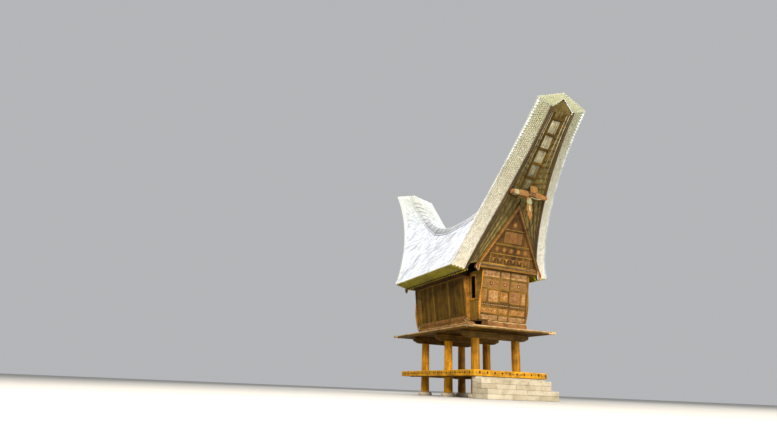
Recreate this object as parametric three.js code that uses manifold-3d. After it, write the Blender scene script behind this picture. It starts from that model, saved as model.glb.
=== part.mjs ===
// A Toraja tongkonan house of the granary form: six round posts on stones, a sitting deck,
// a small carved body on a wide ledge, and a thick saddle roof of bamboo with two horns.
// Millimetres, +Z up. The front gable faces -Y and the long walls face +X and -X.
import * as THREE from 'three';
import { mergeVertices } from 'three/addons/utils/BufferGeometryUtils.js';
import Module from 'manifold-3d';

const wasm = await Module();
wasm.setup();

// Small clearances
const GAP = 0.3;          // between pieces that touch
const ROOF_GAP = 0.5;     // between the roof's underside and what is fitted under it

// Ground floor: stones, posts and deck
const POST_X = 950;
const POST_Y = [-1980, 0, 1980];
const POST_TOP_R = 165;
const POST_SEAT_R = 172;  // straight stretch where the deck beams bear
const POST_SEAT_Z = 700;
const POST_FOOT_Z = 420;   // the thick foot reaches up to here
const POST_FOOT_TAPER = 4;
const HOLE_SPARE = 4;      // the deck clears the posts by this much
const POST_FOOT_R = 186;
const STONE_TOP_R = 250;
const STONE_FOOT_R = 310;
const STONE_H = 150;
const DECK_TOP = 990;
const DECK_T = 65;
const DECK_HALF_X = 1650;
const DECK_HALF_Y = 2930;
const EDGE_T = 45;
const EDGE_H = 210;
const DECK_BEAM_W = 130;
const DECK_BEAM_H = 160;

// Stone step before the deck
const STEP_HALF_X = 1560;
const STEP_UPPER_H = 690;
const STEP_LOWER_H = 345;
const STEP_DEPTH = 360;
const STEP_BEHIND_EDGE = 30;
const STEP_CURB_DEPTH = 240;   // its back course rises to carry the ends of the deck's beams

// Head beams, ledge and sills
const HEAD_Z = 2195;
const HEAD_H = 265;
const HEAD_W = 170;
const HEAD_HALF_X = 1560;
const LEDGE_Z = HEAD_Z + HEAD_H;
const LEDGE_T = 95;
const LEDGE_TOP = LEDGE_Z + LEDGE_T;
const LEDGE_HALF_X = 1940;
const LEDGE_HALF_Y = 3090;
const LEDGE_EAR = 70;      // the ends of the ledge boards curl out by this much
const SILL_TOP = 2800;
const SILL_X0 = 1000;
const SILL_X1 = 1240;
const SILL_HALF_Y = 2080;
const SILL_NOSE = 90;
const END_SILL_HALF_X = 900;
const END_SILL_Y0 = 2330;
const END_SILL_Y1 = 2790;
const FLOOR_T = 50;
const FLOOR_TOP = SILL_TOP + FLOOR_T;

// Body walls
const WALL_T = 50;
const WALL_TOP = 4617;
const WALL_FOOT_X = 1211;  // outer face at the sill
const WALL_LEAN = 0.0886;  // the long walls lean out by this much a millimetre of height
const MAIN_HALF_Y = 1870;
const BAY_X = 1100;        // outer face of the narrower end bays
const BAY_TOP = 4758;
const FRONT_FOOT_Y = 2447;
const FRONT_TOP_Y = 2788;
const FRAME_PROUD = 28;
const RETURN_W = 60;       // the board closing the corner reaches past the long wall by this much
const FRAME_LAP = 5;       // frames and boards run into each other by this much
const HATCH_GAP = 2;       // between the hatch leaf and its frame
const LEAST_FIELD = 60;    // a lower space between two rails is left solid
const PLATE_PAST_BAY = 100;
const PLATE_SET_BACK = 30;
const PLATE_H = 420;
const LEAN_SPARE = 30;     // a leaning board is made this much too long, then trimmed level
const RAIL_H = 70;
const STUD_W = 80;
const WINDOW_Z0 = 3690;
const WINDOW_Z1 = 4570;
const WINDOW_Y0 = 1960;
const WINDOW_Y1 = 2290;
const HATCH_HALF_X = 200;
const HATCH_S0 = 740;      // up the leaning wall, from the floor
const HATCH_S1 = 1150;
const HATCH_T = 40;
const RAIL_S = [0, 240, 530, 680, 1210, 1630];
const STILE_X = [-1060, -780, -240, 240, 780, 1060];

// Gable between the wall and the roof
const GABLE_BEAM_H = 165;
const GABLE_BEAM_HALF_X = 1400;
const GABLE_BEAM_IN = 120;
const GABLE_BEAM_OUT = 60;
const GABLE_FOOT_Y = 2930;
const GABLE_FOOT_Z = BAY_TOP + GABLE_BEAM_H;
const GABLE_APEX_Z = 7230;
const GABLE_FOOT_X = 1400;
const GABLE_T = 45;
const RAKE_W = 150;
const RAKE_T = 70;
const RAKE_LAP = 20;       // the soffit runs in behind the raking boards by this much
const CLEAR = 2;
const CROSS_AT = 0.525;    // place of the cross-beam along the horn's edge, 0 at the eave, 1 at the tip
const CROSS_DROP = [79, 61];  // its centre lies this far out and below the edge
const CROSS_T = 190;
const CROSS_H = 240;
const CROSS_HALF_X = 860;

// Roof
const EAVE_X = 2337;
const EAVE_Z = 4813;
const EAVE_Y = 2460;
const FRONT = {
  name: 'front', side: -1,
  tipY: 6480, tipX: 1120, tipZ: 10370,   // outer corner of the tip
  inward: 1.67, outward: 1.37,           // how its edge curves in from the eave and out to the tip
  ridgeZ: 10760, ridgeOut: 120,          // the ridge's end, this far past the corners
  gableY: 3690, ceilingDeep: 350, ceilingDeepTip: 100,
};
const REAR = {
  name: 'rear', side: 1,
  tipY: 5290, tipX: 1100, tipZ: 10370,
  inward: 1.71, outward: 1.51,
  ridgeZ: 10700, ridgeOut: 120,
  gableY: 3210, ceilingDeep: 330, ceilingDeepTip: 40,
};
const RIDGE_LOW_Y = 900;
const RIDGE_LOW_Z = 7660;
const RIDGE_POWER = 2.2;
const VERGE_IN = 630;      // width of the cut face of the thatch
const VERGE_DROP = 130;
const ROOF_DEEP = 700;     // height of the thatch at the ridge in the middle
const ROOF_DEEP_TIP = 240;
const UNDER_OUT = 90;      // the underside runs out past the top edge by this much at the eave
const UNDER_OUT_HORN = 480;  // and by this share more along the horn
const TIP_DROP = 100;      // the inner edge sinks by this much more towards the tip
const HORN_STEPS = 14;
const MIDDLE_STEPS = 8;
const SLOPE_STEPS = 3;
const HORN_CULMS = { front: 68, rear: 62 };  // split culms side by side along each horn's edge
const MIDDLE_CULMS = 48;
const GROOVE_HALF = 0.27;  // half a groove's width, as a share of a culm
const GROOVE_FLOOR = 0.04;
const GROOVE_DEEP = 38;
const GROOVE_LIFT = 15;    // the groove's cutter starts this far above the surface
const GROOVE_RUN = 0.03;   // and runs on past the ridge and the edge by this share
const TRIM_RUN_ON = 0.05;
const CAP_HALF_X = 300;
const CAP_T = 60;
const SOFFIT_T = 45;
const SOFFIT_TILT = 0.59;  // radians; its boards' thickness leans back by this
const SOFFIT_START = 5;
const SOFFIT_SET_BACK = 25;
const SOFFIT_BEND = 0.3;   // the fold beside the gable, on the way from the boards to the verge
const SOFFIT_STEPS = 16;
const CEILING_HALF_X = 230;

const HOUSE_Y = (FRONT.tipY + FRONT.ridgeOut - REAR.tipY - REAR.ridgeOut) / 2;

const finish = {
  stone: { color: 0xb9ab90, roughness: 0.95 },
  post: { color: 0x9f7218, roughness: 0.8 },
  deck: { color: 0xb4802c, roughness: 0.8 },
  timber: { color: 0x7a5a2c, roughness: 0.85 },
  panel: { color: 0x966e39, roughness: 0.85 },
  bamboo: { color: 0xd9d2b8, roughness: 0.9 },
  hatch: { color: 0x8a3f24, roughness: 0.85 },
};

const house = new THREE.Group();
house.position.y = HOUSE_Y;

function add(name, geometry, kind) {
  const material = new THREE.MeshStandardMaterial({ ...finish[kind], metalness: 0 });
  const mesh = new THREE.Mesh(geometry, material);
  mesh.name = name;
  house.add(mesh);
  return mesh;
}

// Shape helpers

const THROUGH = 10;        // an opening's cutter stands out by this much on both faces

function box(x0, x1, y0, y1, z0, z1) {
  const geometry = new THREE.BoxGeometry(x1 - x0, y1 - y0, z1 - z0);
  geometry.translate((x0 + x1) / 2, (y0 + y1) / 2, (z0 + z1) / 2);
  return geometry;
}

const outline = (points) => new THREE.Shape(points.map(([u, v]) => new THREE.Vector2(u, v)));

const rectangle = (u0, u1, v0, v1) => [[u0, v0], [u1, v0], [u1, v1], [u0, v1]];

// A flat shape given thickness, laid in space by its origin and the directions of u, v and depth.
function plate(shape, depth, origin, uDir, vDir) {
  const geometry = new THREE.ExtrudeGeometry(shape, { depth, bevelEnabled: false, curveSegments: 10 });
  const u = new THREE.Vector3(...uDir).normalize();
  const v = new THREE.Vector3(...vDir).normalize();
  const basis = new THREE.Matrix4().makeBasis(u, v, u.clone().cross(v));
  geometry.applyMatrix4(basis.setPosition(...origin));
  return geometry;
}

function toSolid(geometry) {
  const bare = geometry.clone();
  bare.deleteAttribute('normal');
  bare.deleteAttribute('uv');
  const merged = mergeVertices(bare, 1e-3);
  return new wasm.Manifold(new wasm.Mesh({
    numProp: 3,
    vertProperties: Float32Array.from(merged.attributes.position.array),
    triVerts: Uint32Array.from(merged.index.array),
  }));
}

function toGeometry(solid) {
  const mesh = solid.getMesh();
  const geometry = new THREE.BufferGeometry();
  geometry.setAttribute('position', new THREE.BufferAttribute(new Float32Array(mesh.vertProperties), 3));
  geometry.setIndex(new THREE.BufferAttribute(new Uint32Array(mesh.triVerts), 1));
  return geometry;
}

const cut = (geometry, ...cutters) =>
  toGeometry(cutters.reduce((solid, cutter) => solid.subtract(cutter), toSolid(geometry)));

// A plate with openings cut through it.
function openPlate(shape, openings, depth, origin, uDir, vDir) {
  const solid = plate(shape, depth, origin, uDir, vDir);
  const normal = new THREE.Vector3(...uDir).cross(new THREE.Vector3(...vDir)).normalize();
  const cutters = openings.map((opening) => {
    const through = plate(opening, depth + 2 * THROUGH, origin, uDir, vDir);
    return toSolid(through.translate(...normal.clone().multiplyScalar(-THROUGH).toArray()));
  });
  return cut(solid, ...cutters);
}

const join = (first, ...others) =>
  toGeometry(others.reduce((solid, other) => solid.add(toSolid(other)), toSolid(first)));

// The largest body of a cut piece, without the slivers that the cutters leave.
function mainBody(geometry) {
  const bodies = toSolid(geometry).decompose();
  return toGeometry(bodies.sort((a, b) => b.volume() - a.volume())[0]);
}

// A solid swept through sections; each section lists its upper points and the lower points under them.
function loft(sections) {
  const count = sections[0].upper.length;
  const positions = [];
  const index = [];
  for (const { upper, lower } of sections) for (const p of [...upper, ...lower]) positions.push(...p);
  const at = (s, row, k) => s * 2 * count + row * count + k;
  const quad = (a, b, c, d) => index.push(a, b, c, a, c, d);
  for (let s = 0; s + 1 < sections.length; s++) {
    for (let k = 0; k + 1 < count; k++) {
      quad(at(s, 0, k), at(s, 0, k + 1), at(s + 1, 0, k + 1), at(s + 1, 0, k));
      quad(at(s, 1, k), at(s + 1, 1, k), at(s + 1, 1, k + 1), at(s, 1, k + 1));
    }
    quad(at(s, 0, 0), at(s + 1, 0, 0), at(s + 1, 1, 0), at(s, 1, 0));
    quad(at(s, 0, count - 1), at(s, 1, count - 1), at(s + 1, 1, count - 1), at(s + 1, 0, count - 1));
  }
  const last = sections.length - 1;
  for (let k = 0; k + 1 < count; k++) {
    quad(at(0, 0, k), at(0, 1, k), at(0, 1, k + 1), at(0, 0, k + 1));
    quad(at(last, 0, k), at(last, 0, k + 1), at(last, 1, k + 1), at(last, 1, k));
  }
  const geometry = new THREE.BufferGeometry();
  geometry.setAttribute('position', new THREE.BufferAttribute(new Float32Array(positions), 3));
  geometry.setIndex(index);
  return signedVolume(geometry) < 0 ? flipped(geometry) : geometry;
}

function signedVolume(geometry) {
  const p = geometry.attributes.position;
  const [a, b, c] = [new THREE.Vector3(), new THREE.Vector3(), new THREE.Vector3()];
  let sum = 0;
  for (let i = 0; i < geometry.index.count; i += 3) {
    a.fromBufferAttribute(p, geometry.index.getX(i));
    b.fromBufferAttribute(p, geometry.index.getX(i + 1));
    c.fromBufferAttribute(p, geometry.index.getX(i + 2));
    sum += a.dot(b.cross(c)) / 6;
  }
  return sum;
}

function flipped(geometry) {
  const list = Array.from(geometry.index.array);
  for (let i = 0; i < list.length; i += 3) [list[i + 1], list[i + 2]] = [list[i + 2], list[i + 1]];
  geometry.setIndex(list);
  return geometry;
}

// Blocks that trim a leaning piece level at its foot and its head.
const FAR = 9000;
const below = (z) => toSolid(box(-FAR, FAR, -FAR, FAR, z - FAR, z));
const above = (z) => toSolid(box(-FAR, FAR, -FAR, FAR, z, z + FAR));

const mix = (a, b, f) => a.map((value, i) => value + (b[i] - value) * f);

// The roof's shape

function ridgeHeight(y) {
  const end = y < RIDGE_LOW_Y ? FRONT : REAR;
  const reach = end.tipY + end.ridgeOut - end.side * RIDGE_LOW_Y;
  const f = Math.abs(y - RIDGE_LOW_Y) / reach;
  return RIDGE_LOW_Z + (end.ridgeZ - RIDGE_LOW_Z) * f ** RIDGE_POWER;
}

// One station of the +X slope: ridge and edge on top, ridge and edge below.
function hornStation(end, t) {
  const y = EAVE_Y + (end.tipY - EAVE_Y) * t ** end.outward;
  const x = end.tipX + (EAVE_X - end.tipX) * (1 - t) ** end.inward;
  const z = EAVE_Z + (end.tipZ - EAVE_Z) * t;
  const ridgeY = end.side * (y + end.ridgeOut * t);
  const out = UNDER_OUT * (1 - t) + UNDER_OUT_HORN * t * (1 - t);
  const deep = ROOF_DEEP + (ROOF_DEEP_TIP - ROOF_DEEP) * t;
  return {
    ridge: [0, ridgeY, ridgeHeight(ridgeY)],
    edge: [x, end.side * y, z],
    ridgeUnder: [0, ridgeY + end.side * out, ridgeHeight(ridgeY) - deep],
    edgeUnder: [x - VERGE_IN, end.side * (y + out), z - VERGE_DROP - TIP_DROP * t],
  };
}

function middleStation(f) {
  const y = EAVE_Y * (2 * f - 1);
  const under = (EAVE_Y + UNDER_OUT) * (2 * f - 1);
  return {
    ridge: [0, y, ridgeHeight(y)],
    edge: [EAVE_X, y, EAVE_Z],
    ridgeUnder: [0, under, ridgeHeight(y) - ROOF_DEEP],
    edgeUnder: [EAVE_X - VERGE_IN, under, EAVE_Z - VERGE_DROP],
  };
}

function roofStations() {
  const list = [];
  for (let i = HORN_STEPS; i > 0; i--) list.push(hornStation(FRONT, i / HORN_STEPS));
  for (let i = 0; i <= MIDDLE_STEPS; i++) list.push(middleStation(i / MIDDLE_STEPS));
  for (let i = 1; i <= HORN_STEPS; i++) list.push(hornStation(REAR, i / HORN_STEPS));
  return list;
}

const stations = roofStations();

// One slope of the roof; grow swells it a little so that it can trim what is fitted to it.
function slope(side, grow = 0) {
  const middle = grow ? -grow : GAP / 2;
  const sections = stations.map(({ ridge, edge, ridgeUnder, edgeUnder }) => {
    const place = ([x, y, z], dx, dz) => [side * (x + dx), y, z + dz];
    const upper = [];
    const lower = [];
    for (let k = 0; k <= SLOPE_STEPS; k++) {
      const f = k / SLOPE_STEPS;
      upper.push(place(mix(ridge, edge, f), (1 - f) * middle + f * grow, 2 * grow));
      lower.push(place(mix(ridgeUnder, edgeUnder, f), (1 - f) * middle - f * grow, -grow));
    }
    return { upper, lower };
  });
  // The trimming shape also runs on a little past both tips.
  const runOn = (from, to) => from.map((p, k) => mix(to[k], p, 1 + grow * TRIM_RUN_ON));
  const stretch = (end, next) => ({
    upper: runOn(end.upper, next.upper), lower: runOn(end.lower, next.lower),
  });
  const last = sections.length - 1;
  const tips = [stretch(sections[0], sections[1]), stretch(sections[last], sections[last - 1])];
  return loft([tips[0], ...sections.slice(1, last), tips[1]]);
}

const trim = [toSolid(slope(1, ROOF_GAP)), toSolid(slope(-1, ROOF_GAP))];

// Any line down the slope: s is -1 at the front tip, 0 to 1 between the horns and 2 at the rear tip.
function roofLine(s) {
  if (s < 0) return hornStation(FRONT, Math.min(-s, 1));
  return s > 1 ? hornStation(REAR, Math.min(s - 1, 1)) : middleStation(s);
}

// Where one split culm meets the next, with the width of a culm there.
function culmJoints() {
  const spans = [[-1, 0, HORN_CULMS.front], [0, 1, MIDDLE_CULMS], [1, 2, HORN_CULMS.rear]];
  return spans.flatMap(([from, to, count]) =>
    Array.from({ length: count }, (_, i) => [from + (to - from) * i / count, (to - from) / count]))
    .slice(1);
}

// The groove between two culms, running straight down the slope.
function groove(side, s, width) {
  const lines = [-GROOVE_HALF, -GROOVE_FLOOR, GROOVE_FLOOR, GROOVE_HALF].map((w) => roofLine(s + w * width));
  const vector = (p, q) => new THREE.Vector3(q[0] - p[0], q[1] - p[1], q[2] - p[2]);
  const sections = [-GROOVE_RUN, 1 + GROOVE_RUN].map((f) => {
    const points = lines.map(({ ridge, edge }) => mix(ridge, edge, f));
    const out = vector(points[0], points[3]).cross(vector(lines[0].ridge, lines[0].edge)).normalize();
    const lift = (p, d) => [side * (p[0] + out.x * d), p[1] + out.y * d, p[2] + out.z * d];
    const sign = Math.sign(out.z);
    return {
      upper: [lift(points[0], sign * GROOVE_LIFT), lift(points[3], sign * GROOVE_LIFT)],
      lower: [lift(points[1], -sign * GROOVE_DEEP), lift(points[2], -sign * GROOVE_DEEP)],
    };
  });
  return toSolid(loft(sections));
}

function culmSlope(side) {
  const grooves = culmJoints().map(([s, width]) => groove(side, s, width));
  return mainBody(cut(slope(side), wasm.Manifold.union(grooves)));
}

function addRoof() {
  add('roof_slope_right', culmSlope(1), 'bamboo');
  add('roof_slope_left', culmSlope(-1), 'bamboo');
  const capSections = stations.map(({ ridge, edge }) => {
    const f = CAP_HALF_X / edge[0];
    const low = mix(ridge, edge, f);
    const left = [-low[0], low[1], low[2]];
    const raised = ([x, y, z], dz) => [x, y, z + dz];
    return {
      upper: [raised(left, CAP_T), raised(ridge, CAP_T), raised(low, CAP_T)],
      lower: [raised(left, -CAP_T), raised(ridge, -CAP_T), raised(low, -CAP_T)],
    };
  });
  add('ridge_cap', mainBody(cut(loft(capSections), ...trim)), 'bamboo');
}

// Ground floor

function addPosts() {
  const profile = [[0, STONE_H], [POST_FOOT_R, STONE_H], [POST_FOOT_R - POST_FOOT_TAPER, POST_FOOT_Z],
    [POST_SEAT_R, POST_SEAT_Z],
    [POST_SEAT_R, DECK_TOP], [POST_TOP_R, HEAD_Z], [0, HEAD_Z]];
  POST_Y.forEach((y, row) => {
    for (const [side, sign] of [['left', -1], ['right', 1]]) {
      const name = `${['front', 'middle', 'rear'][row]}_${side}`;
      const stone = new THREE.CylinderGeometry(STONE_TOP_R, STONE_FOOT_R, STONE_H, 10);
      stone.rotateX(Math.PI / 2).translate(sign * POST_X, y, STONE_H / 2);
      add(`footing_stone_${name}`, stone, 'stone');
      const post = new THREE.LatheGeometry(profile.map(([r, z]) => new THREE.Vector2(r, z)), 24);
      post.rotateX(Math.PI / 2).translate(sign * POST_X, y, 0);
      add(`post_${name}`, post, 'post');
    }
  });
}

function addDeck() {
  const beamTop = DECK_TOP - DECK_T;
  const inner = POST_X + POST_SEAT_R + GAP;
  for (const [side, sign] of [['left', -1], ['right', 1]]) {
    const x = sign * (inner + DECK_BEAM_W / 2);
    const half = DECK_HALF_Y - EDGE_T;
    add(`deck_beam_${side}`,
      box(x - DECK_BEAM_W / 2, x + DECK_BEAM_W / 2, -half, half, beamTop - DECK_BEAM_H, beamTop), 'timber');
  }
  const halfX = DECK_HALF_X - EDGE_T;
  const halfY = DECK_HALF_Y - EDGE_T;
  const holes = [-POST_X, POST_X].flatMap((x) => POST_Y.map((y) =>
    new THREE.Shape().absarc(x, y, POST_SEAT_R + HOLE_SPARE, 0, 2 * Math.PI)));
  const floor = outline(rectangle(-halfX, halfX, -halfY, halfY));
  add('deck_floor', openPlate(floor, holes, DECK_T, [0, 0, beamTop], [1, 0, 0], [0, 1, 0]), 'deck');
  const edgeZ = DECK_TOP - EDGE_H;
  add('deck_edge_front', box(-DECK_HALF_X, DECK_HALF_X, -DECK_HALF_Y, -halfY, edgeZ, DECK_TOP), 'deck');
  add('deck_edge_rear', box(-DECK_HALF_X, DECK_HALF_X, halfY, DECK_HALF_Y, edgeZ, DECK_TOP), 'deck');
  add('deck_edge_left', box(-DECK_HALF_X, -halfX, -halfY, halfY, edgeZ, DECK_TOP), 'deck');
  add('deck_edge_right', box(halfX, DECK_HALF_X, -halfY, halfY, edgeZ, DECK_TOP), 'deck');
}

function addStep() {
  const back = -DECK_HALF_Y + STEP_BEHIND_EDGE;
  const middle = back - STEP_DEPTH;
  const curb = back + STEP_CURB_DEPTH;
  const curbTop = DECK_TOP - DECK_T - DECK_BEAM_H - GAP;
  const profile = outline([[middle, 0], [curb, 0], [curb, curbTop], [back, curbTop],
    [back, STEP_UPPER_H], [middle, STEP_UPPER_H]]);
  add('step_upper', plate(profile, 2 * STEP_HALF_X, [-STEP_HALF_X, 0, 0], [0, 1, 0], [0, 0, 1]), 'stone');
  const front = middle - STEP_DEPTH;
  add('step_lower', box(-STEP_HALF_X, STEP_HALF_X, front, middle - GAP, 0, STEP_LOWER_H), 'stone');
}

// Ledge and sills

function addLedge() {
  POST_Y.forEach((y, row) => {
    const name = ['front', 'middle', 'rear'][row];
    add(`head_beam_${name}`,
      box(-HEAD_HALF_X, HEAD_HALF_X, y - HEAD_W / 2, y + HEAD_W / 2, HEAD_Z, LEDGE_Z), 'timber');
  });
  const shape = new THREE.Shape();
  const [x, y, e] = [LEDGE_HALF_X, LEDGE_HALF_Y, LEDGE_EAR];
  shape.moveTo(-x, -y + 3 * e);
  shape.quadraticCurveTo(-x, -y + e, -x - e, -y + e);
  shape.lineTo(-x - e, -y - e).lineTo(-x + e, -y - e);
  shape.quadraticCurveTo(-x + e, -y, -x + 3 * e, -y);
  shape.lineTo(x - 3 * e, -y);
  shape.quadraticCurveTo(x - e, -y, x - e, -y - e);
  shape.lineTo(x + e, -y - e).lineTo(x + e, -y + e);
  shape.quadraticCurveTo(x, -y + e, x, -y + 3 * e);
  shape.lineTo(x, y - 3 * e);
  shape.quadraticCurveTo(x, y - e, x + e, y - e);
  shape.lineTo(x + e, y + e).lineTo(x - e, y + e);
  shape.quadraticCurveTo(x - e, y, x - 3 * e, y);
  shape.lineTo(-x + 3 * e, y);
  shape.quadraticCurveTo(-x + e, y, -x + e, y + e);
  shape.lineTo(-x - e, y + e).lineTo(-x - e, y - e);
  shape.quadraticCurveTo(-x, y - e, -x, y - 3 * e);
  add('ledge', plate(shape, LEDGE_T, [0, 0, LEDGE_Z], [1, 0, 0], [0, 1, 0]), 'timber');
}

function addSills() {
  // The long sills end in a rounded nose that shows under the wall's corner.
  const nose = new THREE.Shape();
  const height = SILL_TOP - LEDGE_TOP;
  nose.moveTo(-SILL_HALF_Y, 0).lineTo(SILL_HALF_Y, 0);
  nose.quadraticCurveTo(SILL_HALF_Y + SILL_NOSE, height / 2, SILL_HALF_Y, height);
  nose.lineTo(-SILL_HALF_Y, height);
  nose.quadraticCurveTo(-SILL_HALF_Y - SILL_NOSE, height / 2, -SILL_HALF_Y, 0);
  add('sill_right', plate(nose, SILL_X1 - SILL_X0, [SILL_X0, 0, LEDGE_TOP], [0, 1, 0], [0, 0, 1]), 'timber');
  add('sill_left', plate(nose, SILL_X1 - SILL_X0, [-SILL_X1, 0, LEDGE_TOP], [0, 1, 0], [0, 0, 1]), 'timber');
  const [half, y0, y1] = [END_SILL_HALF_X, END_SILL_Y0, END_SILL_Y1];
  add('sill_front', box(-half, half, -y1, -y0, LEDGE_TOP, SILL_TOP), 'timber');
  add('sill_rear', box(-half, half, y0, y1, LEDGE_TOP, SILL_TOP), 'timber');
  add('body_floor', box(-BAY_X, BAY_X, -FRONT_FOOT_Y, FRONT_FOOT_Y, SILL_TOP, FLOOR_TOP), 'timber');
}

// Walls

const wallFace = (z) => WALL_FOOT_X + (z - SILL_TOP) * WALL_LEAN;

function addLongWalls() {
  const height = WALL_TOP - SILL_TOP;
  const slant = Math.hypot(1, WALL_LEAN);
  const length = height * slant;
  const bay = 2 * MAIN_HALF_Y / 3;
  const fields = [0, 1, 2].map((i) => outline(rectangle(-MAIN_HALF_Y + i * bay + STUD_W / 2,
    -MAIN_HALF_Y + (i + 1) * bay - STUD_W / 2, RAIL_H, length - RAIL_H)));
  const whole = outline(rectangle(-MAIN_HALF_Y, MAIN_HALF_Y, -LEAN_SPARE, length + LEAN_SPARE));
  for (const [side, sign] of [['left', -1], ['right', 1]]) {
    const slab = plate(outline([[WALL_FOOT_X - WALL_T, 0], [WALL_FOOT_X, 0],
      [wallFace(WALL_TOP), height], [wallFace(WALL_TOP) - WALL_T, height]]
      .map(([x, z]) => [sign * x, z])), 2 * MAIN_HALF_Y, [0, MAIN_HALF_Y, SILL_TOP], [1, 0, 0], [0, 0, 1]);
    const up = [sign * WALL_LEAN, 0, 1];
    const frame = openPlate(whole, fields, FRAME_PROUD + FRAME_LAP,
      [sign * (WALL_FOOT_X - (sign > 0 ? FRAME_LAP : -FRAME_PROUD)), 0, SILL_TOP], [0, 1, 0], up);
    add(`wall_${side}`, cut(join(slab, frame), below(SILL_TOP), above(WALL_TOP)), 'panel');
  }
}

// The narrow end bays: a return beside the long wall and a side with its window, in one corner piece.
function addBaySides() {
  const lean = (FRONT_TOP_Y - FRONT_FOOT_Y) / (BAY_TOP - FLOOR_TOP);
  const back = MAIN_HALF_Y + GAP;
  const wallY = (z) => FRONT_FOOT_Y - WALL_T * Math.hypot(1, lean) - GAP + (z - FLOOR_TOP) * lean;
  const side = outline([[back, FLOOR_TOP], [wallY(FLOOR_TOP), FLOOR_TOP],
    [wallY(BAY_TOP), BAY_TOP], [back, BAY_TOP]]);
  const window = outline(rectangle(WINDOW_Y0, WINDOW_Y1, WINDOW_Z0, WINDOW_Z1));
  for (const [end, ySign] of [['front', -1], ['rear', 1]]) {
    for (const [hand, xSign] of [['left', -1], ['right', 1]]) {
      const flat = openPlate(side, [window], WALL_T, [0, 0, 0], [0, 1, 0], [0, 0, 1]);
      flat.translate(BAY_X - WALL_T, 0, 0);
      const turn = plate(outline([[BAY_X - WALL_T, FLOOR_TOP], [BAY_X + GAP, FLOOR_TOP],
        [BAY_X + GAP, SILL_TOP], [wallFace(SILL_TOP) + RETURN_W, SILL_TOP],
        [wallFace(WALL_TOP) + RETURN_W, WALL_TOP],
        [BAY_X - WALL_T, WALL_TOP]]), WALL_T, [0, back + WALL_T, 0], [1, 0, 0], [0, 0, 1]);
      const corner = join(flat, turn);
      corner.scale(xSign, ySign, 1);
      add(`bay_side_${end}_${hand}`, xSign * ySign < 0 ? flipped(corner) : corner, 'panel');
    }
  }
}

function addEndWalls() {
  const rise = BAY_TOP - FLOOR_TOP;
  const reach = FRONT_TOP_Y - FRONT_FOOT_Y;
  const length = Math.hypot(rise, reach);
  for (const [end, sign] of [['front', -1], ['rear', 1]]) {
    const hatchway = sign < 0 ? [outline(rectangle(-HATCH_HALF_X, HATCH_HALF_X, HATCH_S0, HATCH_S1))] : [];
    const up = [0, sign * reach, rise];
    const foot = [0, sign * FRONT_FOOT_Y, FLOOR_TOP];
    const whole = outline(rectangle(-BAY_X, BAY_X, -LEAN_SPARE, length + LEAN_SPARE));
    const slab = openPlate(whole, hatchway, WALL_T, foot, [-sign, 0, 0], up);
    const frame = openPlate(whole, frameFields(length), FRAME_PROUD + FRAME_LAP, foot, [-sign, 0, 0], up);
    const outward = new THREE.Vector3(0, sign * rise, -reach).normalize();
    slab.translate(...outward.clone().multiplyScalar(-WALL_T).toArray());
    frame.translate(...outward.clone().multiplyScalar(-FRAME_LAP).toArray());
    add(`wall_${end}`, cut(join(slab, frame), below(FLOOR_TOP), above(BAY_TOP)), 'panel');
    if (sign < 0) {
      const half = HATCH_HALF_X - HATCH_GAP;
      const leaf = plate(outline(rectangle(-half, half, HATCH_S0 + GAP, HATCH_S1 - HATCH_GAP)), HATCH_T,
        foot, [-sign, 0, 0], up);
      leaf.translate(...outward.clone().multiplyScalar(FRAME_LAP - WALL_T).toArray());
      add('hatch_front', leaf, 'hatch');
    }
  }
}

// The open fields between the rails and stiles of an end wall.
function frameFields(length) {
  const fields = [];
  const rails = [...RAIL_S, length];
  for (let r = 0; r + 1 < rails.length; r++) {
    const s0 = rails[r] + RAIL_H / 2;
    const s1 = rails[r + 1] - RAIL_H / 2;
    if (s1 - s0 < LEAST_FIELD) continue;
    const across = r === 3 ? STILE_X : [STILE_X[0], STILE_X[2], STILE_X[3], STILE_X[5]];
    for (let c = 0; c + 1 < across.length; c++) {
      fields.push(outline(rectangle(across[c] + RAIL_H / 2, across[c + 1] - RAIL_H / 2, s0, s1)));
    }
  }
  return fields;
}

// Plates over the long walls carry the roof's lower edge.
function addPlates() {
  const inner = BAY_X + PLATE_PAST_BAY;
  const outer = EAVE_X - VERGE_IN - PLATE_SET_BACK;
  for (const [side, sign] of [['left', -1], ['right', 1]]) {
    const block = box(sign > 0 ? inner : -outer, sign > 0 ? outer : -inner,
      -MAIN_HALF_Y, MAIN_HALF_Y, WALL_TOP, WALL_TOP + PLATE_H);
    add(`wall_plate_${side}`, cut(block, ...trim), 'timber');
  }
}

// Gables

const gableRise = GABLE_APEX_Z - GABLE_FOOT_Z;
const gableLength = (end) => Math.hypot(gableRise, end.gableY - GABLE_FOOT_Y);

// A board laid on the leaning plane of a gable, this far out from it.
function gableBoard(end, points, depth, out) {
  const reach = end.gableY - GABLE_FOOT_Y;
  const up = [0, end.side * reach, gableRise];
  const foot = [0, end.side * GABLE_FOOT_Y, GABLE_FOOT_Z];
  const piece = plate(outline(points), depth, foot, [-end.side, 0, 0], up);
  const shift = out / gableLength(end);
  return piece.translate(0, end.side * gableRise * shift, -reach * shift);
}

// Both raking boards in one outline; grow widens them.
function rakeOutline(end, grow) {
  const outer = GABLE_FOOT_X + RAKE_W / 2 + LEAN_SPARE + grow;
  const inner = GABLE_FOOT_X - RAKE_W / 2 + LEAN_SPARE - grow;
  const length = gableLength(end);
  return [[-outer, -LEAN_SPARE], [-inner, -LEAN_SPARE], [0, length - RAKE_W - grow],
    [inner, -LEAN_SPARE], [outer, -LEAN_SPARE], [0, length + RAKE_W + 2 * grow]];
}

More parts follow.
